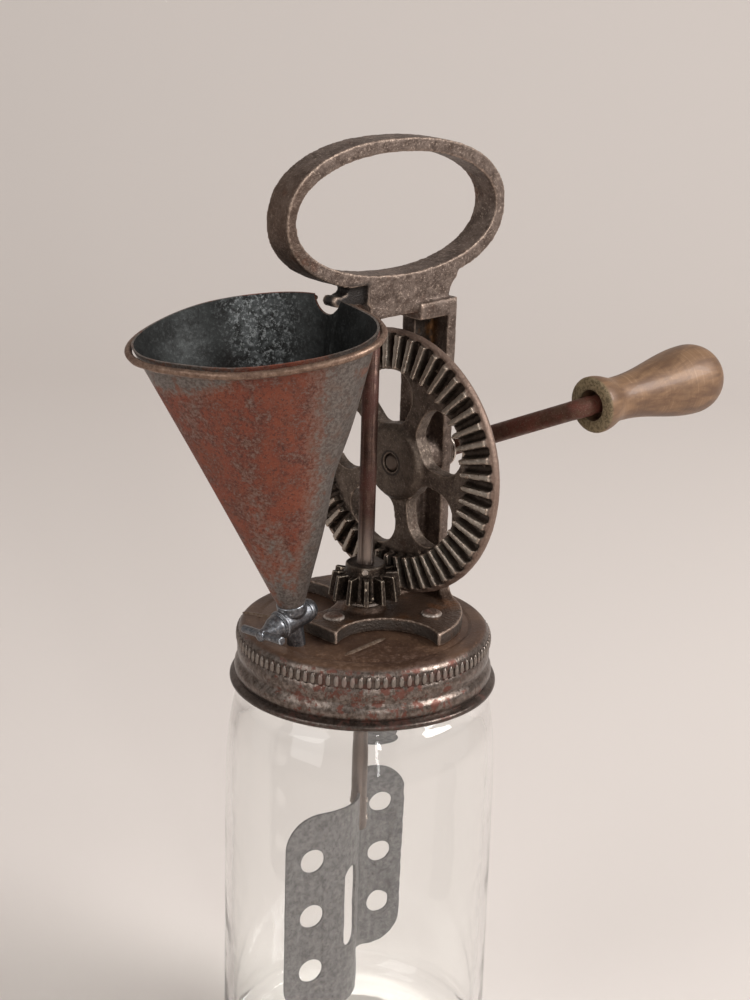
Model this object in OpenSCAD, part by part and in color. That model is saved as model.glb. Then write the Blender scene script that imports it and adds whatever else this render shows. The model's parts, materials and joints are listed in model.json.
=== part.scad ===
// Jar-top dressing mixer: glass jar, screw lid, cast frame with a loop handle,
// crank with crown gear and pinion, bent-sheet beater, oil funnel with a tap.
// Millimetres. Origin at the centre of the jar's base, +Z up along the beater
// shaft, +X from the shaft towards the gear, the column and the crank.

/* [Jar] */
// Outside radius of the jar's body
jar_r = 46.2; // [45.4:0.1:48]
// Height of the jar from its base to its rim
jar_h = 163.2; // [158:0.1:175]
// Thickness of the glass wall
jar_wall = 3; // [2.4:0.1:3.6]
// Thickness of the glass at the base
jar_base = 6; // [5:0.1:9]
// Outside radius of the jar's neck between the threads
neck_r = 39.4; // [39:0.05:39.6]
// Wall of the glass at the neck
neck_wall = 2.8; // [2.4:0.1:3.2]
// Height of the neck above the shoulder ring
neck_h = 21.5; // [21:0.1:24]
// Radius of the rounding round the base
base_round = 9; // [6:0.5:12]

/* [Screw thread] */
// Rise of the thread in one turn
thread_pitch = 6; // [5.8:0.1:6.6]
// How far the glass thread stands out from the neck
thread_depth = 1.5; // [1.2:0.05:1.6]
// Turns of thread on the jar
thread_turns = 1.15; // [1:0.05:1.2]
// Height of the thread's ridge at its root
ridge_h = 2.4; // [2:0.1:2.6]

/* [Lid] */
// Outside radius of the rolled bead at the lid's lower edge
bead_r = 45; // [44.6:0.1:46.4]
// Radius of the wire-like roll of the bead
bead_roll = 1.1; // [0.9:0.05:1.3]
// Outside radius of the ribbed grip band
band_r = 42.4; // [42.2:0.05:43]
// Inside radius of the lid's skirt
skirt_in_r = 41.5; // [41.3:0.05:41.7]
// Height of the lid's outside, from the bead's middle to the top
lid_h = 19.3; // [18.8:0.1:21]
// Thickness of the lid's sheet
lid_t = 0.6; // [0.4:0.05:0.8]
// Rounding between the lid's top and side
lid_round = 3.4; // [2.6:0.1:3.6]
// Thickness of the sealing ring under the lid
seal_t = 1.5; // [1.2:0.1:2]

/* [Frame casting] */
// Thickness of the foot plate
plate_t = 4.7; // [4:0.1:6]
// Radius of the foot plate's outer edge
plate_r = 33; // [31.5:0.5:35]
// How far the foot plate reaches behind the shaft
plate_back = 22.5; // [20:0.5:24]
// Radius of the two side bites in the foot plate
bite_r = 16.9; // [15:0.1:17.4]
// Width of the handle, neck and column roots (along Y)
bar_w = 10; // [9:0.5:12]
// Height of the crank axle above the lid
axle_h = 53.4; // [52.6:0.1:56]
// Height of the middle of the loop handle above the lid
loop_h = 137.7; // [136:0.1:146]
// Half length of the loop's opening
loop_a = 44.6; // [42:0.1:48]
// Half height of the loop's opening
loop_b = 19.4; // [18:0.1:22]
// Thickness of the loop's bar
loop_bar = 4.4; // [4:0.1:6]
// Downward tilt of the loop towards the crank
loop_tilt = 2.8; // [2:0.1:4]
// Shift of the loop's middle from the shaft towards the crank
loop_x = 7; // [5:0.5:9]
// Height of the underside of the neck above the lid
neck_low = 104.7; // [103.5:0.1:110]
// Distance from the shaft to the column's gear side
col_x = 20; // [19.5:0.1:21.5]
// Width of the column's back (along X)
col_w = 12.4; // [12:0.1:13.4]
// Depth of the column's flange on the crank's side (along Y)
col_d = 13.6; // [12.6:0.1:15]
// Thickness of the column's flange
col_wall = 4.2; // [3.6:0.1:4.6]
// Thickness of the column's back
col_back = 5.9; // [5:0.1:6.4]
// Length of the two ribs that spread the flange on the foot plate
rib_len = 15.4; // [12:0.1:16]
// Height of those ribs at the column
rib_h = 12; // [9:0.5:14]
// Radius of the axle bearing boss
axle_boss_r = 6; // [5:0.1:6.2]

/* [Rivets] */
// Radius of the rivet shanks in the foot plate
rivet_r = 2; // [1.8:0.1:2.4]
// Radius of the rivet heads
rivet_head_r = 3.5; // [3.2:0.1:4]
// Height of the rivet heads
rivet_head_h = 1.4; // [1:0.1:1.8]

/* [Crown gear] */
// Teeth on the crown gear
gear_teeth = 48;
// Teeth on the pinion
pinion_teeth = 12;
// Outside radius of the crown gear
gear_r = 44.9; // [44.6:0.1:45.2]
// Distance from the shaft to the tooth tips at the gear's rim
gear_tip_x = 10.8; // [10.7:0.05:11]
// Depth of the gear's teeth
tooth_d = 3; // [2.8:0.1:3.2]
// Length of the gear's teeth, towards the hub
tooth_len = 11.4; // [10.6:0.1:11.6]
// Width of the plain land outside the teeth
land_w = 1.5; // [1.2:0.1:2]
// Thickness of the gear's rim behind the tooth roots
rim_t = 2.7; // [2.2:0.1:2.8]
// Thickness of the gear's spokes
web_t = 5; // [4.4:0.1:5.2]
// Radius of the gear's hub
hub_r = 12.2; // [11.5:0.1:12.6]
// How far the hub stands before the tooth tips
hub_out = 0.5; // [0.3:0.1:1.2]
// Width of the gear's spokes
spoke_w = 6.2; // [5.6:0.1:7]
// Radius of the windows' corners at the rim
rim_corner = 8; // [6:0.5:8.5]
// Radius of the windows' corners at the hub
hub_corner = 5; // [3:0.5:5.5]
// Angle of the gear's first window from +Y at rest
window_turn = 7.6; // [0:0.1:20]
// Slope of the gear's tooth tips
cone_slope = 7; // [6:0.5:8]

/* [Pinion and beater shaft] */
// Radius of the pinion over its teeth, at the lower end
pinion_r = 12.3; // [12.1:0.05:12.5]
// Height of the pinion's teeth
pinion_h = 8.6; // [8:0.1:9]
// Depth of the pinion's teeth
pinion_d = 4.2; // [4:0.05:4.3]
// Slope of the pinion's cone
pinion_slope = 9; // [7:0.5:10]
// Height of the pinion's teeth above the lid
pinion_up = 9.2; // [8.8:0.1:9.4]
// Radius of the collar above the pinion's teeth
collar_r = 6.7; // [6.2:0.1:6.8]
// Height of the collar above the pinion's teeth
collar_h = 3.2; // [3:0.1:4]
// Radius of the bearing boss on the foot plate
boss_r = 6.8; // [6:0.1:7.2]
// Height of the bearing boss on the foot plate
boss_h = 2.3; // [1.8:0.1:2.5]
// Turn of the pinion at rest, a quarter of which is the gear's
mesh_turn = -12; // [-15:0.5:15]
// Radius of the beater shaft
shaft_r = 2.75; // [2.5:0.05:3]
// Radial clearance of every running fit
run_fit = 0.06; // [0.03:0.01:0.09]
// Depth of the shaft's upper bearing in the neck
top_bearing = 9; // [7:0.5:10]
// Radius of the pins through the pinion and the stop collar
pin_r = 1; // [0.8:0.1:1.2]
// Radius of the stop collar under the lid
stop_r = 5.6; // [5:0.1:6.5]
// Height of the stop collar under the lid
stop_h = 6; // [5:0.5:8]

/* [Crank] */
// Radius of the crank's rod
rod_r = 3.2; // [3:0.05:3.4]
// Distance from the shaft to the middle of the crank's arm at the axle
arm_x = 39.5; // [39.3:0.1:41]
// Outward lean of the crank's arm
arm_lean = 9.2; // [8.6:0.1:11]
// Distance from the axle to the corner where the arm meets the grip's line
crank_r = 53.9; // [53:0.1:56]
// Radius of the spindle inside the grip
spindle_r = 3; // [2.8:0.05:3.1]
// Angle of the arm above the horizontal at rest
crank_up = 25.2; // [0:0.1:40]
// Outward lean of the grip's spindle
splay = 5.6; // [3:0.1:6]
// Radius of the bend between axle and arm
bend_r = 4; // [3.6:0.1:4]
// Radius of the bend into the grip
elbow_r = 5; // [4.6:0.1:5]

/* [Grip] */
// Length of the turned grip
grip_len = 59; // [56:0.5:62]
// Radius of the grip at its mouth
mouth_r = 9.35; // [9:0.05:10]
// Radius of the grip at its waist
waist_r = 7.3; // [7:0.1:7.6]
// Greatest radius of the grip
bulb_r = 11.8; // [11:0.1:12.4]
// Distance from the mouth to the grip's waist
waist_at = 11; // [10:0.5:13]
// Distance from the mouth to the middle of the grip's round end
bulb_at = 46.6; // [44:0.1:47]
// Radius of the widened mouth of the bore
mouth_bore = 5.2; // [5:0.1:5.4]
// Distance of the grip's mouth from the end of the elbow
mouth_gap = 0.2; // [0.1:0.1:1]

/* [Beater] */
// Height of the bent sheet
blade_h = 76.6; // [72:0.1:80]
// Distance from the lid's top to the sheet's top edge
blade_drop = 61.1; // [59:0.1:64]
// Thickness of the sheet
blade_t = 0.9; // [0.7:0.05:1.2]
// Length of the flat middle towards the near wing
web_near = 3.5; // [3:0.1:4]
// Radius of the near wing's bend
near_bend = 19; // [18:0.5:20]
// Angle of the near wing's bend
near_turn = 61; // [58:1:63]
// Length of the near wing's flat
near_flat = 15.4; // [14:0.1:15.8]
// Distance from the bend to the near wing's holes
near_hole = 5.8; // [5.2:0.1:7]
// Length of the flat middle towards the far wing
web_far = 19.7; // [19:0.1:20.2]
// Radius of the far wing's bend
far_bend = 5; // [4:0.5:6]
// Angle of the far wing's bend
far_turn = 67; // [62:1:72]
// Length of the far wing's flat
far_flat = 14; // [12.5:0.1:15]
// Distance from the bend to the far wing's holes
far_hole = 5; // [4.9:0.1:6]
// Radius of the rounded corners of the wings
wing_corner = 12; // [9:0.5:12]
// Length of the tall slot
slot_h = 31; // [28:0.5:36]
// Width of the tall slot
slot_w = 6.6; // [5:0.1:7]
// Distance from the shaft to the middle of the tall slot
slot_at = 12.4; // [11:0.1:13.5]
// Height of the slot's middle above the sheet's lower edge
slot_up = 37; // [34:0.5:42]
// Radius of the holes in the wings
hole_r = 4.4; // [4:0.1:5]
// Distance between the holes
hole_pitch = 21.2; // [20:0.1:22]
// Turn of the sheet's middle from +X at rest
blade_turn = 45; // [0:1:90]

/* [Oil funnel] */
// Lean of the funnel and its tap away from the shaft
lean = 10.7; // [9.8:0.1:11]
// Distance from the shaft to the oil hole in the lid
oil_x = 30.7; // [30.2:0.1:31]
// Size of the funnel's bent rim (1 = as built)
rim_size = 1; // [0.985:0.005:1.01]
// Height of the rim along the funnel's axis, above the lid
rim_up = 108.6; // [108:0.1:109.2]
// Thickness of the funnel's sheet
funnel_t = 0.7; // [0.5:0.05:0.9]
// Radius of the wire rolled into the rim
rim_wire = 1.3; // [1.1:0.05:1.5]
// Half width of the notch in the rim
notch_w = 6.8; // [6:0.1:7.5]
// Distance of the notch's middle from the frame's middle plane
notch_y = 0.8; // [0:0.1:1]
// Depth of the notch in the rim
notch_d = 4.6; // [4.4:0.1:5.4]

/* [Tap] */
// Radius of the cup that holds the funnel
cup_r = 4.8; // [4.5:0.1:5.2]
// Radius of the tap's barrel
barrel_r = 4; // [3.8:0.1:4.3]
// Height of the barrel's axis above the lid
tap_up = 9.6; // [9:0.1:10.4]
// Radius of the turning plug inside the barrel
plug_r = 2.4; // [2.2:0.1:2.6]
// Radius of the oil way
oil_r = 1.2; // [1:0.1:1.3]
// Radius of the spout
spout_r = 3; // [2.6:0.1:3.1]
// Length of the drip tube below the lid
drip_len = 12; // [8:0.5:16]
// Radius of the tap's cross bar
tee_r = 1.35; // [1.2:0.05:1.5]
// Length of the tap's cross bar
tee_len = 19; // [16:0.5:19]

/* [Hidden] */
seat = 0.3;            // free space between loosely stacked pieces
round_fn = 72;
small_fn = 32;

// heights in the jar's frame
lid_top = jar_h + seal_t + lid_t;
bead_z = lid_top - lid_h;
plate_top = lid_top + plate_t;
axle_z = lid_top + axle_h;
loop_z = lid_top + loop_h;
neck_z = lid_top + neck_low;
jar_in_r = jar_r - jar_wall;
mouth_in_r = neck_r - neck_wall;

// crown gear and pinion share one mesh
tooth_out = gear_r - land_w;
tooth_in = tooth_out - tooth_len;
slope = tan(cone_slope);
function tip_x(r) = gear_tip_x - (tooth_out - r) * slope;
root_x = gear_tip_x + tooth_d;
rim_back = root_x + rim_t;
web_x = root_x - 1.3;
gear_back = web_x + web_t;
hub_front = gear_tip_x - hub_out;
pinion_z = lid_top + pinion_up;
washer_t = 1;

// column and axle
col_far = col_x + col_w;
boss_gap = 0.15;
boss_x = gear_back + washer_t + 2 * boss_gap;
arm_tan = bend_r * tan((90 - arm_lean) / 2);
boss_far = arm_x - arm_tan - 0.7 * washer_t - 2 * boss_gap;
flange_y = col_back + 0.6 - col_d;

// underside of the hook, above the lid
hook_low = 110.1;

// ---------- shared shapes ----------

// points of an oval |x/a|^n + |y/b|^n = 1
function oval(a, b, n, count = 96) = [for (i = [0 : count - 1])
  let (t = 360 * i / count, c = cos(t), s = sin(t))
  [a * sign(c) * pow(abs(c), 2 / n), b * sign(s) * pow(abs(s), 2 / n)]];

// points of an arc
function arc(x, y, r, from, to, steps = 8) = [for (i = [0 : steps])
  let (t = from + (to - from) * i / steps) [x + r * cos(t), y + r * sin(t)]];

// faces of a closed tube of rings with m points each
function tube_faces(rings, m) = concat(
  [[for (j = [0 : m - 1]) j]],
  [for (i = [0 : rings - 2], j = [0 : m - 1])
    each [[i * m + j, (i + 1) * m + j, (i + 1) * m + (j + 1) % m],
      [i * m + j, (i + 1) * m + (j + 1) % m, i * m + (j + 1) % m]]],
  [[for (j = [m - 1 : -1 : 0]) (rings - 1) * m + j]]);

// a helical ridge: side 1 stands outwards from r, side -1 inwards
module helix_ridge(r, depth, side, z0, turns, steps) {
  rings = [for (i = [0 : steps])
    let (t = 360 * turns * i / steps, z = z0 + thread_pitch * t / 360,
      fade = min(1, min(i, steps - i) / 4 + 0.05), h = ridge_h / 2)
    for (p = [[-0.5, -h], [depth * fade, -h * 0.45], [depth * fade, h * 0.45], [-0.5, h]])
      [(r + side * p[0]) * cos(t), (r + side * p[0]) * sin(t), z + p[1]]];
  faces = tube_faces(steps + 1, 4);
  polyhedron(rings, side < 0 ? faces : [for (f = faces) [for (k = [len(f) - 1 : -1 : 0]) f[k]]]);
}

// a rod along the local X axis
module rod_x(r, x0, x1) {
  translate([x0, 0, 0]) rotate([0, 90, 0]) cylinder(r = r, h = x1 - x0, $fn = small_fn);
}

// a flat ring
module ring(r_out, r_in, h) {
  difference() {
    cylinder(r = r_out, h = h, $fn = round_fn);
    translate([0, 0, -1]) cylinder(r = r_in, h = h + 2, $fn = small_fn);
  }
}

// ---------- jar, lid and seal ----------

shoulder_z = jar_h - neck_h;
module jar_outline() {
  polygon(concat([[0, 0]],
    arc(jar_r - base_round, base_round, base_round, -90, 0, 8),
    [[jar_r, shoulder_z - 32], [jar_r - 0.5, shoulder_z - 20], [jar_r - 1.3, shoulder_z - 12],
     [jar_r - 2.6, shoulder_z - 5], [jar_r - 3.4, shoulder_z - 2], [neck_r + 1.9, shoulder_z],
     [neck_r + 1.2, shoulder_z + 1.6], [neck_r, shoulder_z + 2.6], [neck_r, jar_h - 1],
     [neck_r - 0.8, jar_h], [mouth_in_r + 0.8, jar_h], [mouth_in_r, jar_h - 1],
     [mouth_in_r, shoulder_z - 1], [jar_in_r - 5, shoulder_z - 5],
     [jar_in_r - 1.8, shoulder_z - 14], [jar_in_r, shoulder_z - 30]],
    arc(jar_in_r - base_round, jar_base + base_round, base_round, 0, -90, 8),
    [[0, jar_base]]));
}

thread_low = shoulder_z + 5.6;
module jar() {
  color("gainsboro", 0.35) {
    rotate_extrude($fn = round_fn) jar_outline();
    helix_ridge(neck_r, thread_depth, 1, thread_low, thread_turns, 46);
  }
}

module lid_seal() {
  color("saddlebrown") translate([0, 0, jar_h]) ring(neck_r - 0.3, mouth_in_r - 0.6, seal_t);
}

// the skirt's outside: rolled bead, two swells, a ribbed band and a round shoulder
module lid_outline() {
  polygon(concat(
    [[0, lid_top - lid_t], [skirt_in_r - 2.2, lid_top - lid_t], [skirt_in_r, lid_top - lid_t - 2.2],
     [skirt_in_r, bead_z], [bead_r - bead_roll, bead_z]],
    [[bead_r - bead_roll, bead_z + 0.9], [band_r + 0.3, bead_z + 1.6],
     [band_r + 0.9, bead_z + 3], [band_r + 0.9, bead_z + 4.8], [band_r + 0.3, bead_z + 6.4],
     [band_r - 0.5, bead_z + 7.4], [band_r, bead_z + 8.4], [band_r + 0.1, bead_z + 10.4],
     [band_r - 0.2, bead_z + 12], [band_r - 0.5, bead_z + 12.8], [band_r, bead_z + 13.2],
     [band_r, lid_top - lid_round + 0.5]],
    arc(band_r - 0.3 - lid_round, lid_top - lid_round, lid_round, 4, 90, 6),
    [[0, lid_top]]));
}

lean_at = [-oil_x, 0, lid_top];
module lid() {
  color("slategray") difference() {
    union() {
      rotate_extrude($fn = round_fn) lid_outline();
      translate([0, 0, bead_z]) rotate_extrude($fn = round_fn)
        translate([bead_r - bead_roll, 0]) circle(r = bead_roll, $fn = 20);
      helix_ridge(skirt_in_r, thread_depth, -1, thread_low - thread_pitch / 2, thread_turns - 0.15, 40);
    }
    translate([0, 0, jar_h]) cylinder(r = shaft_r + 0.6, h = 2 * lid_t + seal_t, $fn = small_fn);
    translate(lean_at) rotate([0, -lean, 0]) translate([0, 0, -5])
      cylinder(r = spout_r, h = 10, $fn = small_fn);
    for (p = rivet_at) translate([p[0], p[1], jar_h]) cylinder(r = rivet_r, h = 9, $fn = small_fn);
  }
}

// ---------- frame casting ----------

rivet_at = [[-14, 0], [12.8, -19], [12.8, 19]];

module foot_outline() {
  difference() {
    intersection() {
      circle(r = plate_r, $fn = round_fn);
      translate([-plate_back, -plate_r]) square([plate_back + plate_r, 2 * plate_r]);
    }
    for (s = [-1, 1]) translate([-12.75, s * 24.1]) circle(r = bite_r, $fn = 64);
  }
}

// handle loop, neck and hook in the XZ plane; y of the outline is height above the lid
module head_outline() {
  difference() {
    union() {
      translate([loop_x, loop_h]) rotate(-loop_tilt)
        polygon(oval(loop_a + loop_bar - 0.3, loop_b + loop_bar, 2.25));
      polygon(concat(
        [[-14, loop_h - 16], [-14, loop_h - 21.5]],
        arc(-17.5, neck_low + 13, 8.5, 20, -30, 5),
        [[-5.5, neck_low + 4], [-5.5, neck_low], [col_x, neck_low], [col_far, neck_low - 4],
         [col_far, neck_low + 1], [col_far - 1.2, neck_low + 2.2], [col_far - 2.8, neck_low + 3]],
        arc(col_far + 3.8, neck_low + 4, 5.6, 178, 118, 5),
        [[col_far + 4.2, loop_h - 16]]));
      hook_outline();
    }
    translate([loop_x - 0.3, loop_h]) rotate(-loop_tilt) polygon(oval(loop_a, loop_b, 2.1));
  }
}

// the finger that the funnel's notch sits on
hook_tip = -20;
hook_top = hook_low + 3.9;
module hook_outline() {
  polygon(concat(
    [[-4, hook_low], [-9, hook_low - 0.4], [-15, hook_low]],
    arc(hook_tip + 2, hook_low + 2.1, 1.9, -110, -250, 6),
    [[-16.6, hook_top - 0.4]],
    arc(-15.6, hook_top + 2.2, 2.4, -75, 60, 6),
    [[-12, hook_top + 8], [-4, hook_top + 4]]));
}

// a rib that runs from the flange's foot along the plate's edge; side 1 is -Y
module foot_rib(side) {
  turn = side > 0 ? -118.7 : 118.7;
  translate([col_far - 2, side > 0 ? flange_y + 1.5 : col_back - 1.5, plate_t - 0.5]) rotate(turn)
    translate([0, side * col_wall / 2, 0]) rotate([90, 0, 0]) translate([0, 0, side > 0 ? 0 : -col_wall])
      linear_extrude(col_wall) polygon([[-1.5, 0], [-1.5, rib_h], [0, rib_h], [rib_len * 0.1, rib_h * 0.72],
        [rib_len * 0.25, rib_h * 0.44], [rib_len * 0.45, rib_h * 0.22], [rib_len * 0.7, rib_h * 0.09],
        [rib_len, 0.3], [rib_len, 0]]);
}

module column_body() {
  // angle section: a back towards +Y and one flange on the crank's side
  translate([col_x, 0.6, plate_t / 2]) cube([col_w, col_back, neck_low - plate_t / 2 + 1.5]);
  translate([col_far - col_wall, flange_y, plate_t / 2])
    cube([col_wall, col_d, neck_low - plate_t / 2 + 1.5]);
  // the ledge that closes the section at the top
  translate([ledge_x, flange_y, neck_low - 2.6]) cube([col_far - ledge_x, col_d, 5.6]);
  // the foot of the back
  translate([col_x - 3, 0.6, plate_t / 2]) cube([col_w + 3, col_back, plate_t / 2 + 2]);
  translate([0, 0, axle_h]) rod_x(axle_boss_r, boss_x, boss_far);
  for (side = [-1, 1]) foot_rib(side);
}
ledge_x = 15.3;

module frame() {
  color("dimgray") translate([0, 0, lid_top]) difference() {
    union() {
      linear_extrude(plate_t) foot_outline();
      cylinder(r = boss_r, h = plate_t + boss_h - 0.8, $fn = 48);
      translate([0, 0, plate_t + boss_h - 0.8]) cylinder(r1 = boss_r, r2 = boss_r - 0.8, h = 0.8, $fn = 48);
      column_body();
      translate([0, bar_w / 2, 0]) rotate([90, 0, 0]) linear_extrude(bar_w) head_outline();
    }
    // shaft's lower bearing and blind upper bearing
    translate([0, 0, -1]) cylinder(r = shaft_r + run_fit, h = plate_t + boss_h + 2, $fn = small_fn);
    translate([0, 0, neck_low - 1]) cylinder(r = shaft_r + run_fit, h = top_bearing + 1, $fn = small_fn);
    // axle bearing
    translate([0, 0, axle_h]) rod_x(rod_r + run_fit, boss_x - 1, boss_far + 1);
    // the hook is narrower than the neck
    for (s = [-1, 1]) translate([hook_tip - 2, s > 0 ? hook_half : -bar_w, hook_low - 2])
      cube([-hook_tip + 2 - 7, bar_w - hook_half, hook_top - hook_low + 4.5]);
    for (p = rivet_at) translate([p[0], p[1], -1]) cylinder(r = rivet_r, h = plate_t + 2, $fn = small_fn);
  }
}
hook_half = 2.8;

module frame_rivets() {
  color("rosybrown") for (p = rivet_at) translate([p[0], p[1], 0]) {
    translate([0, 0, jar_h + seal_t - 0.9]) cylinder(r = rivet_r, h = plate_t + lid_t + 1.4, $fn = small_fn);
    translate([0, 0, jar_h + seal_t - 0.9]) cylinder(r = rivet_r + 1, h = 0.9, $fn = small_fn);
    translate([0, 0, plate_top]) rotate_extrude($fn = small_fn)
      polygon([[0, 0], [rivet_head_r, 0], [rivet_head_r, 0.35], [rivet_head_r * 0.78, rivet_head_h * 0.72],
        [rivet_head_r * 0.45, rivet_head_h], [0, rivet_head_h]]);
  }
}

// ---------- crown gear ----------

// one tooth of the gear, pointing along +Y of the gear's face and towards -X
module gear_tooth() {
  ends = [for (r = [tooth_in, tooth_out])
    let (p = 2 * PI * r / gear_teeth, tip = 0.19 * p, root = 0.31 * p, x = tip_x(r))
    each [[root_x + 0.3, r, -root], [x, r, -tip], [x, r, tip], [root_x + 0.3, r, root]]];
  polyhedron(ends, tube_faces(2, 4));
}

window_in = hub_r + 0.9;
window_out = tooth_in - 1;
// one window between two spokes, in the gear's own plane
module window_outline() {
  half = 36;
  difference() {
    intersection() {
      circle(r = window_out, $fn = round_fn);
      polygon([[0, 0], [60 * cos(half), -60 * sin(half)], [60, 0], [60 * cos(half), 60 * sin(half)]]);
    }
    circle(r = window_in, $fn = 48);
    for (s = [-1, 1]) rotate(s * half) translate([0, -spoke_w / 2]) square([60, spoke_w]);
    for (s = [-1, 1]) corner_fill(s, half, rim_corner, window_out - rim_corner, 1);
    for (s = [-1, 1]) corner_fill(s, half, hub_corner, window_in + hub_corner, -1);
  }
}
// fills the sharp corner between a spoke and the rim (side 1) or the hub (side -1)
module corner_fill(s, half, r, c, side) {
  a = asin((spoke_w / 2 + r) / c);
  high = (spoke_w / 2 + r) * (1 + side * r / c) - spoke_w / 2;
  rotate(s * (half - a)) difference() {
    rotate(s * a) translate([c * cos(a) - (side < 0 ? r + 3 : 0), s > 0 ? -spoke_w / 2 - high : spoke_w / 2])
      square([r + 3, high]);
    translate([c, 0]) circle(r = r, $fn = 40);
  }
}

module gear_blank() {
  rotate([0, 90, 0]) rotate_extrude($fn = round_fn) polygon([
    [0, hub_front], [hub_r - 1.4, hub_front], [hub_r - 0.5, hub_front + 0.4], [hub_r, hub_front + 1.2],
    [hub_r + 0.6, web_x - 0.3], [hub_r + 1.4, web_x], [tooth_in - 1.1, web_x], [tooth_in - 0.4, web_x + 0.5],
    [tooth_in - 0.2, root_x], [tooth_out, root_x], [tooth_out, root_x - 1.5], [gear_r - 0.3, root_x - 1.2],
    [gear_r, root_x - 0.4], [gear_r, root_x + 0.6], [gear_r - 1.7, rim_back], [tooth_in - 1.4, rim_back],
    [tooth_in - 2.4, gear_back], [0, gear_back]]);
}

module drive_gear() {
  color("gray") translate([0, 0, axle_z]) difference() {
    union() {
      difference() {
        gear_blank();
        for (k = [0 : 4]) rotate([window_turn + 72 * k, 0, 0]) rotate([90, 0, 90])
          translate([0, 0, 1]) linear_extrude(gear_back + 2) window_outline();
      }
      for (k = [0 : gear_teeth - 1])
        rotate([(k + 0.5) * 360 / gear_teeth + mesh_turn / 4, 0, 0]) gear_tooth();
    }
    rod_x(rod_r, 0, gear_back + 1);
  }
}

// ---------- crank ----------

elbow_turn = 90 - arm_lean - splay;
elbow_tan = elbow_r * tan(elbow_turn / 2);
arm_len = crank_r / cos(arm_lean);
// the crank's parts lie in a plane that leans by crank_up about the axle
module crank_place() {
  translate([0, 0, axle_z]) rotate([180 - crank_up, 0, 0]) children();
}
// +Y runs along the arm, from where its line meets the axle's
module arm_place() {
  crank_place() translate([arm_x, 0, 0]) rotate(-arm_lean) children();
}
// +X runs along the spindle, from the end of the elbow
module spindle_place() {
  arm_place()
    translate([elbow_r * (1 - cos(elbow_turn)), arm_len - elbow_tan + elbow_r * sin(elbow_turn), 0])
    rotate(90 - elbow_turn) children();
}
mouth_x = mouth_gap;
dome = grip_len - bulb_at;
rod_end = mouth_x + grip_len - 2.6;

// a bent piece of the rod: a sector of a round ring about the local origin
module bent_rod(r, from, to) {
  mid = (from + to) / 2;
  intersection() {
    rotate_extrude($fn = 64) translate([r, 0]) circle(r = rod_r, $fn = small_fn);
    translate([0, 0, -5]) linear_extrude(10) polygon([[0, 0], [20 * cos(from), 20 * sin(from)],
      [30 * cos(mid), 30 * sin(mid)], [20 * cos(to), 20 * sin(to)]]);
  }
}

module crank_rod() {
  color("sienna") {
    crank_place() {
      rod_x(rod_r - 0.8, hub_front - 0.1, hub_front + 1.4);
      rod_x(rod_r, hub_front + 1, arm_x - arm_tan);
      translate([arm_x - arm_tan, bend_r, 0]) bent_rod(bend_r, -90, -arm_lean);
    }
    arm_place() {
      rotate(90) rod_x(rod_r - 0.05, arm_tan - 0.3, arm_len - elbow_tan + 0.3);
      translate([elbow_r, arm_len - elbow_tan, 0]) bent_rod(elbow_r, 180 - elbow_turn, 180);
    }
    spindle_place() {
      rod_x(spindle_r, -0.6, rod_end);
      // peened end over the washer
      translate([rod_end, 0, 0]) rotate([0, 90, 0])
        cylinder(r1 = spindle_r + 0.6, r2 = spindle_r - 0.6, h = 0.9, $fn = small_fn);
    }
  }
}

module hub_washer() {
  color("silver") translate([gear_back + boss_gap, 0, axle_z]) rotate([0, 90, 0])
    ring(rod_r + 3.4, rod_r + run_fit, washer_t);
}

module crank_washer() {
  color("silver") translate([boss_far + boss_gap, 0, axle_z]) rotate([0, 90, 0])
    ring(rod_r + 2.6, rod_r + run_fit, washer_t * 0.7);
}

washer_seat = grip_len - 4.4;
module crank_grip() {
  color("rosybrown") spindle_place() translate([mouth_x, 0, 0]) rotate([0, 90, 0]) difference() {
    rotate_extrude($fn = round_fn) polygon(concat([[0, 0], [mouth_r - 0.8, 0], [mouth_r, 0.9], [mouth_r, 2]],
      [for (i = [1 : 12]) let (u = i / 12)
        [mouth_r - (mouth_r - waist_r) * (1 - cos(180 * u)) / 2, 2 + (waist_at - 2) * u]],
      [for (i = [1 : 16]) let (u = i / 16)
        [waist_r + (bulb_r - waist_r) * (1 - cos(180 * u)) / 2,
          waist_at + (bulb_at - waist_at) * pow(u, 0.94)]],
      [for (i = [1 : 12]) let (t = 90 * i / 13) [bulb_r * cos(t), bulb_at + dome * sin(t)]],
      [[1.4, grip_len], [0, grip_len]]));
    translate([0, 0, -1]) cylinder(r = mouth_bore, h = 8, $fn = small_fn);
    translate([0, 0, -1]) cylinder(r = spindle_r + run_fit, h = grip_len + 2, $fn = small_fn);
    translate([0, 0, washer_seat]) cylinder(r = spindle_r + 1.8, h = 20, $fn = small_fn);
  }
}

module grip_washer() {
  color("silver") spindle_place() translate([mouth_x + washer_seat + 0.1, 0, 0]) rotate([0, 90, 0])
    ring(spindle_r + 1.5, spindle_r, rod_end - mouth_x - washer_seat - 0.1);
}

// ---------- beater shaft and pinion ----------

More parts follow.
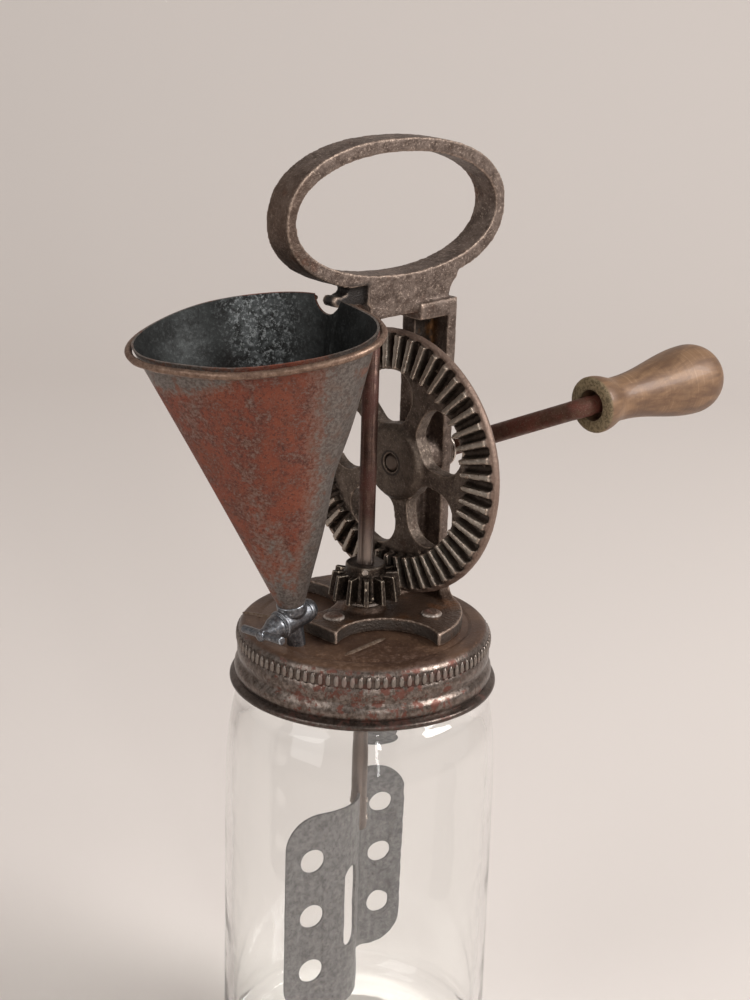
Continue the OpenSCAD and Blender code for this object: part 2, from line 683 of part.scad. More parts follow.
blade_top = lid_top - blade_drop;
shaft_end = blade_top - 15;
shaft_top = neck_z + top_bearing - 1;
module beater_shaft() {
  color("dimgray") difference() {
    translate([0, 0, shaft_end]) cylinder(r = shaft_r, h = shaft_top - shaft_end, $fn = small_fn);
    // saw cut for the sheet
    rotate(blade_turn) translate([-shaft_r - 1, -blade_t / 2, shaft_end - 1])
      cube([2 * shaft_r + 2, blade_t, blade_top - shaft_end + 1]);
    for (z = blade_rivet_z) translate([0, 0, z]) rotate([90, 0, blade_turn])
      cylinder(r = pin_r, h = 20, center = true, $fn = small_fn);
    pin_hole(pinion_z + pinion_h + collar_h / 2, pinion_pin_turn);
    pin_hole(stop_top - stop_h / 2, 0);
  }
}
blade_rivet_z = [blade_top - 4, blade_top - 11];
pinion_pin_turn = 45;
module pin_hole(z, turn) {
  translate([0, 0, z]) rotate([0, 90, turn]) cylinder(r = pin_r, h = 40, center = true, $fn = small_fn);
}

pinion_tip = pinion_r;
pinion_root = pinion_r - pinion_d;
taper = pinion_h * tan(pinion_slope);
// one pinion tooth, along +X
module pinion_tooth() {
  lower = 2 * PI * (pinion_r - 1.4) / pinion_teeth;
  upper = 2 * PI * (pinion_r - taper - 1.4) / pinion_teeth;
  side = [[pinion_root - 0.4, -0.24], [pinion_tip, -0.13], [pinion_tip, 0.13], [pinion_root - 0.4, 0.24]];
  polyhedron(concat([for (p = side) [p[0], p[1] * lower, 0]],
    [for (p = side) [p[0] - taper, p[1] * upper, pinion_h]]), tube_faces(2, 4));
}

thrust_z = plate_top + boss_h;
module pinion() {
  color("dimgray") difference() {
    union() {
      translate([0, 0, thrust_z + washer_t])
        cylinder(r = boss_r - 0.8, h = pinion_z - thrust_z - washer_t + 0.1, $fn = 48);
      translate([0, 0, pinion_z]) {
        cylinder(r1 = pinion_root, r2 = pinion_root - taper, h = pinion_h, $fn = 64);
        for (k = [0 : pinion_teeth - 1]) rotate(k * 360 / pinion_teeth + mesh_turn) pinion_tooth();
        translate([0, 0, pinion_h - 1.2]) cylinder(r = collar_r, h = collar_h + 0.8, $fn = 64);
        translate([0, 0, pinion_h + collar_h - 0.4])
          cylinder(r1 = collar_r, r2 = collar_r - 0.4, h = 0.4, $fn = 64);
      }
    }
    translate([0, 0, plate_top]) cylinder(r = shaft_r, h = 60, $fn = small_fn);
    pin_hole(pinion_z + pinion_h + collar_h / 2, pinion_pin_turn);
  }
}

module pinion_pin() {
  color("silver") translate([0, 0, pinion_z + pinion_h + collar_h / 2]) rotate([0, 90, pinion_pin_turn])
    cylinder(r = pin_r, h = 2 * collar_r - 0.4, center = true, $fn = small_fn);
}

module thrust_washer() {
  color("silver") translate([0, 0, thrust_z]) ring(boss_r - 1, shaft_r + run_fit, washer_t - 0.1);
}

stop_top = jar_h + seal_t - seat;
module stop_collar() {
  color("silver") difference() {
    translate([0, 0, stop_top - stop_h]) ring(stop_r, shaft_r, stop_h);
    pin_hole(stop_top - stop_h / 2, 0);
  }
}

module stop_pin() {
  color("silver") translate([0, 0, stop_top - stop_h / 2]) rotate([0, 90, 0])
    cylinder(r = pin_r, h = 2 * stop_r - 0.4, center = true, $fn = small_fn);
}

// ---------- beater sheet ----------

// one wing: [length of the middle, bend radius, bend angle, length of the flat, distance of its holes]
near_wing = [web_near, near_bend, near_turn, near_flat, near_hole];
far_wing = [web_far, far_bend, far_turn, far_flat, far_hole];

// one face of a half sheet that leaves the middle along +X and bends to -Y; q picks the face
function wing_edge(w, q) = let (r = w[1] - q * blade_t / 2, a = w[2]) concat(
  arc(w[0], -w[1], r, 90, 90 - a, 10),
  [[w[0] + r * sin(a) + w[3] * cos(a), -w[1] + r * cos(a) - w[3] * sin(a)]]);
function reversed(v) = [for (i = [len(v) - 1 : -1 : 0]) v[i]];
function turned(v) = [for (p = v) [-p[0], -p[1]]];
sheet_line = concat(wing_edge(far_wing, -1), reversed(wing_edge(far_wing, 1)),
  turned(wing_edge(near_wing, -1)), reversed(turned(wing_edge(near_wing, 1))));

// the holes and the rounded corners of one wing
module wing_cuts(w) {
  c = wing_corner;
  translate([w[0] + w[1] * sin(w[2]), -w[1] * (1 - cos(w[2])), 0]) rotate(-w[2]) {
    for (k = [-1 : 1]) translate([w[4], 0, blade_h / 2 + k * hole_pitch]) rotate([90, 0, 0])
      cylinder(r = hole_r, h = 8, center = true, $fn = 48);
    for (up = [0, 1]) translate([w[3] - c, 0, up * (blade_h - 2 * c) + c]) difference() {
      translate([0, -4, up * (c + 1) - c - 1]) cube([c + 1, 8, c + 1]);
      rotate([90, 0, 0]) cylinder(r = c, h = 10, center = true, $fn = 64);
    }
  }
}

module beater_blade() {
  color("darkgray") translate([0, 0, blade_top - blade_h]) rotate(blade_turn) difference() {
    linear_extrude(blade_h) polygon(sheet_line);
    wing_cuts(far_wing);
    rotate(180) wing_cuts(near_wing);
    // tall slot with round ends through the near bend
    translate([-slot_at, 0, slot_up]) rotate([90, 0, 0]) {
      for (s = [-1, 1]) translate([0, s * (slot_h - slot_w) / 2, -14])
        cylinder(r = slot_w / 2, h = 28, $fn = small_fn);
      translate([-slot_w / 2, -(slot_h - slot_w) / 2, -14]) cube([slot_w, slot_h - slot_w, 28]);
    }
    for (z = blade_rivet_z) translate([0, 0, z - blade_top + blade_h]) rotate([90, 0, 0])
      cylinder(r = pin_r, h = 6, center = true, $fn = small_fn);
  }
}

module blade_rivets() {
  color("gray") for (z = blade_rivet_z) translate([0, 0, z]) rotate([90, 0, blade_turn])
    cylinder(r = pin_r, h = 2 * shaft_r + 0.8, center = true, $fn = small_fn);
}

// ---------- funnel and tap, in a frame that leans with the funnel's axis ----------

module leaning() {
  translate(lean_at) rotate([0, -lean, 0]) children();
}
cup_low = tap_up + 2.6;
cone_low = cup_low + 1.2;
cone_r = cup_r - 0.9;

// radii of the bent rim, one for each 15 degrees from the shaft's side
rim_radii = rim_size * [34.5, 35.0, 34.9, 34.6, 35.0, 35.7, 36.0, 36.6, 37.7, 38.2, 36.6, 33.4,
  30.5, 29.3, 29.4, 29.9, 30.9, 33.0, 36.4, 39.7, 40.7, 38.8, 35.8, 34.2];
function rim_radius(t) = let (u = t / 15, i = floor(u), f = u - i,
  a = rim_radii[(i + 23) % 24], b = rim_radii[i % 24], c = rim_radii[(i + 1) % 24],
  d = rim_radii[(i + 2) % 24])
  b + f * ((c - a) + f * ((2 * a - 5 * b + 4 * c - d) + f * (3 * b - 3 * c + d - a))) / 2;
function rim_line(inset, count = 72) = [for (i = [0 : count - 1])
  let (t = 360 * i / count, r = rim_radius(t) - inset) [r * cos(t), r * sin(t)]];

module cone_solid(inset, low_extra, up_extra) {
  hull() {
    translate([0, 0, cone_low - low_extra]) cylinder(r = cone_r - inset, h = 0.01, $fn = 64);
    translate([0, 0, rim_up + up_extra]) linear_extrude(0.01) polygon(rim_line(rim_wire + inset));
  }
}

module notch_cut() {
  deep = notch_d + rim_wire;
  r = (notch_w * notch_w + deep * deep) / (2 * deep);
  translate([20, notch_y, rim_up + rim_wire - deep + r]) rod_x(r, 0, 30);
}

module funnel_cone() {
  color("indianred") leaning() difference() {
    cone_solid(0, 0, 0);
    cone_solid(funnel_t, 0.02, 0.02);
    notch_cut();
  }
}

// the wired rim: an open ring with its gap at the notch
rim_steps = 56;
module funnel_rim() {
  low = asin((notch_w + 0.2 + notch_y) / rim_radius(0));
  high = 360 - asin((notch_w + 0.2 - notch_y) / rim_radius(0));
  rings = [for (i = [0 : rim_steps], j = [0 : 7])
    let (t = low + (high - low) * i / rim_steps, r = rim_radius(t) + 0.05 + rim_wire * cos(j * 45))
    [r * cos(t), r * sin(t), rim_up - rim_wire * 0.4 + rim_wire * sin(j * 45)]];
  color("rosybrown") leaning() polyhedron(rings, [for (f = tube_faces(rim_steps + 1, 8))
    [for (k = [len(f) - 1 : -1 : 0]) f[k]]]);
}

spout_in = 1.5;      // the spout's reach through the lid
tap_in = -6.4;       // plug side end of the barrel
tap_out = 5.4;       // cap nut side end of the barrel
module tap_body() {
  color("lightslategray") leaning() difference() {
    union() {
      translate([0, 0, tap_up]) rod_x(barrel_r, tap_in, tap_out);
      translate([0, 0, tap_up]) rod_x(barrel_r + 0.7, tap_in + 0.6, tap_in + 1.6);
      translate([0, 0, -spout_in]) cylinder(r = spout_r, h = tap_up + spout_in, $fn = small_fn);
      translate([0, 0, tap_up]) cylinder(r1 = cup_r - 1.4, r2 = cup_r, h = cup_low - tap_up, $fn = 48);
      translate([0, 0, cup_low]) cylinder(r = cup_r, h = 3, $fn = 48);
    }
    translate([0, 0, tap_up]) rod_x(plug_r + run_fit, tap_in - 1, tap_out + 1);
    translate([0, 0, -spout_in - 1]) cylinder(r = oil_r, h = tap_up + 14, $fn = small_fn);
    translate([0, 0, cone_low]) cylinder(r1 = cone_r, r2 = cone_r + 0.7, h = 4, $fn = 64);
  }
}

plug_tail = tap_out + 1.6;
module tap_plug() {
  color("darkslategray") leaning() translate([0, 0, tap_up]) difference() {
    union() {
      rod_x(plug_r, tap_in - 0.2, plug_tail);
      translate([tap_in - 0.2, 0, 0]) rotate([0, -90, 0]) rotate_extrude($fn = 48)
        polygon([[0, 0], [barrel_r, 0], [barrel_r, 0.8], [barrel_r - 0.4, 2.2], [barrel_r - 1.2, 3.6],
          [2.3, 4.8], [1.9, 6.2], [1.9, 8], [1.3, 8.6], [0, 8.6]]);
    }
    rotate([90, 0, 0]) cylinder(r = oil_r, h = 20, center = true, $fn = small_fn);
    translate([tee_x, 0, 0]) rotate([90 + tee_turn, 0, 0])
      cylinder(r = tee_r, h = 20, center = true, $fn = small_fn);
  }
}
tee_x = -13.2;
tee_turn = -5;

module tap_tee() {
  color("slategray") leaning() translate([tee_x, 0, tap_up]) rotate([90 + tee_turn, 0, 0])
    cylinder(r = tee_r, h = tee_len, center = true, $fn = small_fn);
}

module tap_cap_nut() {
  color("lightslategray") leaning() translate([tap_out + 0.2, 0, tap_up]) rotate([0, 90, 0]) difference() {
    rotate_extrude($fn = 48) polygon(concat([[0, 0], [barrel_r - 0.2, 0]],
      arc(0, 0.4, barrel_r - 0.2, 4, 88, 7), [[0, barrel_r + 0.2]]));
    translate([0, 0, -1]) cylinder(r = plug_r, h = plug_tail - tap_out + 0.8, $fn = small_fn);
  }
}

module drip_tube() {
  color("lightslategray") leaning() translate([0, 0, -spout_in - drip_len]) difference() {
    cylinder(r = oil_r + 0.9, h = drip_len, $fn = small_fn);
    translate([0, 0, -1]) cylinder(r = oil_r, h = drip_len + 2, $fn = small_fn);
  }
}

jar();
lid_seal();
lid();
frame();
frame_rivets();
drive_gear();
crank_rod();
hub_washer();
crank_washer();
crank_grip();
grip_washer();
beater_shaft();
pinion();
pinion_pin();
thrust_washer();
stop_collar();
stop_pin();
beater_blade();
blade_rivets();
funnel_cone();
funnel_rim();
tap_body();
tap_plug();
tap_tee();
tap_cap_nut();
drip_tube();
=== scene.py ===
# %% [markdown]
# # A hand-cranked jar mixer
# A glass jar carries a screw lid, and a cast frame stands on the lid. A crank
# turns a crown gear, the gear turns a pinion on an upright shaft, and the shaft
# turns a bent sheet inside the jar. A tin funnel with a small tap drips oil.
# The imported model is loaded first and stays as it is: every finished piece is
# made in metres in the same space, so it needs no fitting.

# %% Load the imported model
import json
from math import asin, cos, degrees, pi, radians, sin

import bmesh
import bpy
import numpy as np
from mathutils import Matrix, Vector


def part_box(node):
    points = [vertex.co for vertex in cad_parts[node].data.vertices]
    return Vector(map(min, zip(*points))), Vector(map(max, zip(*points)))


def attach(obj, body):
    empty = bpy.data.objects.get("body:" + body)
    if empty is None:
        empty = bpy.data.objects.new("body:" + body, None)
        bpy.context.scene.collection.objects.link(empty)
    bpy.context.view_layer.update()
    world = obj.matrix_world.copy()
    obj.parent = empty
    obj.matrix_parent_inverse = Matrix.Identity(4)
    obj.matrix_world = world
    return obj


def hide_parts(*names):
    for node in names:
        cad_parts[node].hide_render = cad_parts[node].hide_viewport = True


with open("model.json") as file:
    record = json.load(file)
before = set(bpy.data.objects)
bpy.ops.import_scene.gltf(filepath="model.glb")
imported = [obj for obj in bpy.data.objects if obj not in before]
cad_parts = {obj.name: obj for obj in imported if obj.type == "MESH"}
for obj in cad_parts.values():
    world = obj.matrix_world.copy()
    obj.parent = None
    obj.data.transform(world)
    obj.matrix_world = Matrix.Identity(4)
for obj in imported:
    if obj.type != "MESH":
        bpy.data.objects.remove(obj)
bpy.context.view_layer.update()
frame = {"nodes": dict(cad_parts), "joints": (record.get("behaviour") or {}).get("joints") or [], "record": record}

MM = 0.001
nodes = frame["nodes"]
joints = {j["name"]: j for j in frame["joints"]}
print("CAD nodes:", len(nodes), "joints:", len(joints))

# %% [markdown]
# ## Sizes that several pieces share
# The lid's top and the gear's axle carry most of the finished pieces. They are
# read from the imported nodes, so that a change of the model moves those too.

# %% Read the shared sizes
gear_low, gear_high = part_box("drive_gear")
LID_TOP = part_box("lid")[1].z
AXLE_Z = (gear_low.z + gear_high.z) / 2
print("lid top", LID_TOP, "axle", AXLE_Z)

# %% [markdown]
# ## The camera
# It looks down at the mixer from beside the crank. A camera that is placed by
# its own three axes needs no aiming constraint, and its lens stays unshifted.

# %% Place the camera
CAM_AZIMUTH = radians(-45.115)
CAM_ELEVATION = radians(18.566)
CAM_ROLL = radians(1.699)
CAM_PLACE = Vector((-0.4409, -0.4427, 0.4179))

back = Vector((sin(CAM_AZIMUTH) * cos(CAM_ELEVATION),
               -cos(CAM_AZIMUTH) * cos(CAM_ELEVATION), sin(CAM_ELEVATION)))
level_right = Vector((cos(CAM_AZIMUTH), sin(CAM_AZIMUTH), 0))
level_up = back.cross(level_right)
right = cos(CAM_ROLL) * level_right + sin(CAM_ROLL) * level_up
up = cos(CAM_ROLL) * level_up - sin(CAM_ROLL) * level_right
camera_data = bpy.data.cameras.new("camera")
camera_data.lens = 72
camera_data.sensor_width = 36
camera = bpy.data.objects.new("camera", camera_data)
camera.matrix_world = Matrix((
    (right.x, up.x, back.x, CAM_PLACE.x),
    (right.y, up.y, back.y, CAM_PLACE.y),
    (right.z, up.z, back.z, CAM_PLACE.z),
    (0, 0, 0, 1)))
bpy.context.scene.collection.objects.link(camera)
bpy.context.scene.camera = camera
print("camera at", tuple(round(v, 3) for v in CAM_PLACE))

# %% [markdown]
# ## A small language for materials
# A finish is a sum of masks, noises and colours. Written as Python expressions
# they stay readable, so one class wraps a node's output and turns `+`, `-`,
# `*` and `/` into Math nodes. Everything else comes from `Finish.node`.


# %% Wrap a socket so that expressions build nodes
class Wire:
    """One value that flows through a material's nodes."""

    def __init__(self, finish, socket):
        self.finish = finish
        self.socket = socket

    def math(self, operation, *others):
        values = [self, *others]
        return self.finish.node("ShaderNodeMath", {"operation": operation}, dict(enumerate(values)))

    def __add__(self, other):
        return self.math("ADD", other)

    def __sub__(self, other):
        return self.math("SUBTRACT", other)

    def __mul__(self, other):
        return self.math("MULTIPLY", other)

    def __truediv__(self, other):
        return self.math("DIVIDE", other)

    def __rsub__(self, other):
        return self.finish.node("ShaderNodeMath", {"operation": "SUBTRACT"}, {0: other, 1: self})

    __radd__ = __add__
    __rmul__ = __mul__

    def clamp(self):
        return self.math("MAXIMUM", 0.0).math("MINIMUM", 1.0)

    def step(self, low, high):
        """0 below low, 1 above high, with a soft ramp between."""
        return self.finish.node("ShaderNodeMapRange", {"interpolation_type": "SMOOTHSTEP"},
                                {"Value": self, "From Min": low, "From Max": high})

    def band(self, start, full, fade, end):
        """1 between full and fade, 0 outside start and end, soft ramps between."""
        return self.step(start, full) * (1 - self.step(fade, end))


class Finish:
    """A material that is built node by node and ends in one Principled shader."""

    def __init__(self, name):
        self.material = bpy.data.materials.new(name)
        self.material.use_nodes = True
        self.tree = self.material.node_tree
        self.tree.nodes.clear()
        self.output = self.tree.nodes.new("ShaderNodeOutputMaterial")
        self.shader = self.tree.nodes.new("ShaderNodeBsdfPrincipled")
        self.tree.links.new(self.shader.outputs[0], self.output.inputs[0])

    def node(self, kind, settings=None, sockets=None, out=0):
        new = self.tree.nodes.new(kind)
        for key, value in (settings or {}).items():
            setattr(new, key, value)
        self.feed(new, sockets or {})
        return Wire(self, new.outputs[out])

    def feed(self, node, sockets):
        for key, value in sockets.items():
            if isinstance(value, Wire):
                self.tree.links.new(value.socket, node.inputs[key])
            else:
                node.inputs[key].default_value = value

    def place(self, stretch=(1, 1, 1)):
        """Object coordinates, stretched."""
        spot = self.node("ShaderNodeTexCoord", out="Object")
        return self.node("ShaderNodeMapping", {}, {"Vector": spot, "Scale": stretch})

    def axis(self, name):
        spot = self.node("ShaderNodeTexCoord", out="Object")
        return self.node("ShaderNodeSeparateXYZ", {}, {0: spot}, out=name)

    def noise(self, size, detail=4, rough=0.55, stretch=(1, 1, 1), warp=0.0, seed=0.0):
        """Cloudy noise whose blobs are about size metres wide."""
        shift = self.node("ShaderNodeVectorMath", {"operation": "ADD"},
                          {0: self.place(stretch), 1: (seed, seed * 0.7, seed * 1.3)})
        return self.node("ShaderNodeTexNoise", {}, {
            "Vector": shift, "Scale": 1 / size, "Detail": detail, "Roughness": rough, "Distortion": warp})

    def mix(self, factor, first, second):
        """Goes from the first colour to the second as factor goes from 0 to 1."""
        return self.node("ShaderNodeMix", {"data_type": "RGBA"}, {0: factor, 6: first, 7: second}, out=2)

    def bump(self, height, depth, strength=1.0):
        return self.node("ShaderNodeBump", {}, {"Height": height, "Distance": depth, "Strength": strength})

    def finish(self, **sockets):
        """Feeds the shader; underscores in a name stand for spaces."""
        self.feed(self.shader, {key.replace("_", " "): value for key, value in sockets.items()})
        return self.material


def rgb(red, green, blue):
    """A colour given as it looks on a screen, 0 to 255, as linear numbers."""
    linear = [((v / 255 + 0.055) / 1.055) ** 2.4 if v > 10 else v / 255 / 12.92 for v in (red, green, blue)]
    return (*linear, 1.0)


# %% [markdown]
# ## Worn metals
# Most of this mixer is old iron, steel and tinned sheet. All of it shows the same
# layers: a bare metal, a darker stain, rust where a cloudy mask says so, fine
# pits, and bright worn edges. Cycles gives a Pointiness value that is high on
# convex edges, so the wear follows the shape by itself.


# %% One recipe for every worn metal
AXLE = (0.0, 0.0, AXLE_Z)
PIT_BLACK = rgb(26, 20, 17)
GRAIN_GLINT = rgb(190, 170, 154)


def worn_metal(name, bare, stain, rust, rust_at=(0.55, 0.7), patch=0.02, rough=0.45, metal=0.9,
               grain=0.0005, depth=0.00005, seed=0.0, edge=None, pits=0.35, extra=None, bright=0.25):
    f = Finish(name)
    cloud = f.noise(patch, 6, 0.6, seed=seed)
    fine = f.noise(patch / 6, 5, 0.65, seed=seed + 3)
    speck = f.noise(grain, 3, 0.72, seed=seed + 5)
    rusty = (cloud * 0.65 + fine * 0.35).step(*rust_at)
    colour = f.mix(fine.step(0.35, 0.65), bare, stain)
    colour = f.mix(rusty, colour, rust)
    colour = f.mix(speck.step(0.55, 0.78) * pits, colour, PIT_BLACK)
    colour = f.mix(speck.step(0.46, 0.3) * bright, colour, GRAIN_GLINT)
    shine = (1 - rusty * 0.75) * metal
    dull = rough + rusty * 0.3 + speck * 0.12
    if extra:
        colour, shine, dull = extra(f, colour, shine, dull)
    if edge:
        worn = f.node("ShaderNodeNewGeometry", out="Pointiness").step(0.515, 0.57) * (fine * 0.7 + 0.5)
        colour = f.mix(worn.clamp(), colour, edge)
        dull = dull - worn * 0.15
    bumps = f.bump(f.noise(grain, 3, 0.6, seed=seed + 9) + rusty * 0.6 + speck * 0.5, depth)
    return f.finish(Base_Color=colour, Metallic=shine.clamp(), Roughness=dull.clamp(), Normal=bumps)


# %% [markdown]
# ## Where each finish changes
# A real part isn't worn evenly. The foot of the casting is brown and oily, the
# tips of the gear's teeth are polished, and the lid's top is rusty while its side
# is bare. Some rules also paint light and shade: painted shade on the casting's
# left side, in its column's recess and on its hook, and painted light on the
# gear's outer land. Each rule reads Object coordinates, which are the mixer's own.


# %% Where the zones lie, in metres
FOOT_HEIGHT = (LID_TOP + 0.006, LID_TOP + 0.016)
FOOT_SIDE = (LID_TOP + 0.0036, LID_TOP + 0.0044)
HOOK_HEIGHT = (LID_TOP + 0.106, LID_TOP + 0.108, LID_TOP + 0.1165, LID_TOP + 0.1185)
COLUMN_RECESS_SHADE_AND_RUST = (0.248, 0.256, 0.266, 0.269)
TOOTH_RING = (0.0305, 0.032, 0.0432, 0.0436)
TOOTH_FLANK = (0.0112, 0.0124, 0.0139, 0.0144)
AXLE_GROOVE = (0.0034, 0.0037, 0.0042, 0.0046)
RIB_BAND = (0.1588, 0.1596, 0.1626, 0.1634)
RIB_CREST = (0.0424, 0.0428)
BEAD_SHADE = (0.1472, 0.1496)
print("foot plate's zone ends at", FOOT_HEIGHT[1])


# %% Rules for the casting, the gear and the lid
def casting_zones(f, colour, shine, dull):
    """The foot is brown and greasy, the left side has painted shade and a rust stain, the column's recess has
    painted shade with yellow-brown rust, and the hook is black paint with painted shade.
    """
    high = f.axis("Z")
    low = 1 - high.step(*FOOT_HEIGHT)
    blot = f.noise(0.012, 4, 0.6, seed=31)
    colour = f.mix(low * 0.85, colour, rgb(66, 47, 34))
    colour = f.mix(low * blot.step(0.5, 0.62) * 0.6, colour, rgb(98, 64, 38))
    side = low * (1 - high.step(*FOOT_SIDE))
    colour = f.mix(side * 0.7, colour, rgb(74, 68, 63))
    colour = f.mix(blot.step(0.6, 0.7) * 0.35, colour, rgb(104, 62, 38))
    left = 1 - f.axis("X").step(-0.040, -0.026)
    # painted shade: the casting's left outer side is darker brown, away from the light
    colour = f.mix(left * 0.6, colour, rgb(76, 57, 45))
    stain = left * (1 - high.step(0.288, 0.298)) * blot.step(0.46, 0.56)
    colour = f.mix(stain * 0.7, colour, rgb(128, 66, 30))
    # painted shade with rust: the column's recess is dark where shade falls, blotched with yellow-brown rust
    recess_shade_and_rust = f.axis("X").step(0.019, 0.021) * high.band(*COLUMN_RECESS_SHADE_AND_RUST)
    recess_shade_and_rust = recess_shade_and_rust * f.axis("Y").step(-0.004, 0.0)
    recess_shade_to_rust = f.mix(blot.step(0.45, 0.55), rgb(34, 26, 20), rgb(104, 68, 30))
    colour = f.mix(recess_shade_and_rust * 0.85, colour, recess_shade_to_rust)
    # the hook is black paint, darkened further as painted shade
    hook = (1 - f.axis("X").step(-0.0075, -0.0055)) * high.band(*HOOK_HEIGHT)
    colour = f.mix(hook * 0.93, colour, rgb(30, 26, 24))
    return colour, shine - low * 0.1 - hook * 0.2, dull - low * 0.1


def gear_zones(f, colour, shine, dull):
    """Tooth tips are polished, the teeth darken towards their roots, and the outer land is lighter and pinkish as
    painted light.
    """
    spot = f.node("ShaderNodeTexCoord", out="Object")
    off = f.node("ShaderNodeVectorMath", {"operation": "SUBTRACT"}, {0: spot, 1: AXLE})
    flat = f.node("ShaderNodeVectorMath", {"operation": "MULTIPLY"}, {0: off, 1: (0, 1, 1)})
    radius = f.node("ShaderNodeVectorMath", {"operation": "LENGTH"}, {0: flat}, out="Value")
    along = f.axis("X")
    teeth = radius.band(*TOOTH_RING)
    flank = teeth * along.band(*TOOTH_FLANK)
    tips = teeth * (1 - along.step(0.0104, 0.0118))
    land = radius.step(0.0433, 0.0438)
    scratch = f.noise(0.0012, 4, 0.6, stretch=(1, 1, 1), seed=41)
    # painted light: the outer land is lighter and pinkish, as lit from the right and above
    colour = f.mix(land * 0.5, colour, rgb(150, 124, 110))
    colour = f.mix(flank * 0.6, colour, rgb(50, 40, 32))
    colour = f.mix(tips * (scratch * 0.6 + 0.45), colour, rgb(178, 168, 156))
    hub = (1 - radius.step(0.0125, 0.0135)) * 0.35
    colour = f.mix(hub, colour, rgb(86, 74, 64))
    groove = radius.band(*AXLE_GROOVE)
    colour = f.mix(groove * 0.8, colour, rgb(38, 30, 25))
    return colour, shine + tips * 0.3, dull - tips * 0.16 - flank * 0.1


def lid_zones(f, colour, shine, dull):
    """Brown rust on the top, red patches down the front, steel on the ribs' crests."""
    high = f.axis("Z")
    top = high.step(LID_TOP - 0.0014, LID_TOP - 0.0004)
    specks = f.noise(0.0011, 3, 0.7, seed=52)
    cloud = f.noise(0.017, 5, 0.6, seed=53)
    brown = f.mix(cloud.step(0.4, 0.62), rgb(70, 46, 32), rgb(92, 66, 48))
    brown = f.mix(specks.step(0.58, 0.7) * 0.5, brown, rgb(140, 108, 84))
    colour = f.mix(top * 0.92, colour, brown)
    front = (f.axis("X") * -0.45 - f.axis("Y") * 0.9).step(0.012, 0.036)
    left_front = (0.026 - f.axis("X")).step(0.0, 0.04) * front
    red = (f.noise(0.0032, 6, 0.75, seed=54) + left_front * 0.085).step(0.595, 0.64)
    colour = f.mix(red * (1 - top) * 0.8, colour, rgb(92, 44, 30))
    ribs = high.band(*RIB_BAND)
    reach = f.node("ShaderNodeVectorMath", {"operation": "MULTIPLY"},
                   {0: f.node("ShaderNodeTexCoord", out="Object"), 1: (1, 1, 0)})
    reach = f.node("ShaderNodeVectorMath", {"operation": "LENGTH"}, {0: reach}, out="Value")
    crest = ribs * reach.step(*RIB_CREST)
    colour = f.mix(ribs * (1 - crest) * 0.5, colour, rgb(62, 52, 46))
    colour = f.mix(crest * 0.5, colour, rgb(146, 138, 130))
    low = 1 - high.step(*BEAD_SHADE)
    colour = f.mix(low * 0.55, colour, rgb(58, 50, 46))
    return colour, shine - top * 0.45 - red * 0.35, dull + top * 0.16 + red * 0.15 - 0.05


# %% [markdown]
# ## The rods, the blade and the funnel's skin
# The shaft and the crank are plain round steel, so a rule along one axis is
# enough for them. The funnel is tinned sheet whose tin has gone in patches: red
# rust on the side that faced the damp, grey metal at the foot and along one side.
# Paint by hand would need an image, so two numbers, the height along the cone and
# the place from left to right, steer cloudy masks instead.

# %% Rules for the rods, the blade and the funnel
def shaft_zones(f, colour, shine, dull):
    """Red rust above, rubbed steel just over the pinion."""
    steel = 1 - f.axis("Z").step(0.190, 0.206)
    colour = f.mix(steel * 0.7, colour, rgb(142, 130, 122))
    return colour, shine + steel * 0.35, dull - steel * 0.1


def rod_zones(f, colour, shine, dull):
    """The axle's end has the gear's colour inside the hub."""
    front = 1 - f.axis("X").step(0.0112, 0.0125)
    colour = f.mix(front * 0.9, colour, rgb(88, 75, 65))
    return colour, shine, dull


def blade_zones(f, colour, shine, dull):
    """The far wing's free edge is eaten by rust."""
    far = (f.axis("X") * 0.5 + f.axis("Y") * 0.86)
    ragged = far + f.noise(0.006, 5, 0.7, seed=61) * 0.014
    dark = ragged.step(0.030, 0.036)
    colour = f.mix(dark * 0.85, colour, rgb(48, 44, 42))
    return colour, shine - dark * 0.4, dull + dark * 0.2


LEAN = asin(joints["tap_turn"]["axis"][2])
OIL_X = 0.0307
CONE_AXIS = Vector((-sin(LEAN), 0, cos(LEAN)))
CONE_FOOT = Vector((-OIL_X, 0, LID_TOP))
RIM_UP = 0.1086
CONE_LOW = 0.0134


def cone_places(f):
    """Height along the funnel's axis, and how far to the viewer's right, -1 to 1."""
    spot = f.node("ShaderNodeTexCoord", out="Object")
    off = f.node("ShaderNodeVectorMath", {"operation": "SUBTRACT"}, {0: spot, 1: CONE_FOOT})
    rise = f.node("ShaderNodeVectorMath", {"operation": "DOT_PRODUCT"}, {0: off, 1: CONE_AXIS}, out="Value")
    side = f.node("ShaderNodeVectorMath", {"operation": "DOT_PRODUCT"},
                  {0: off, 1: (0.7057, -0.7085, 0.13)}, out="Value")
    return rise, side / (rise * 0.34 + 0.001)


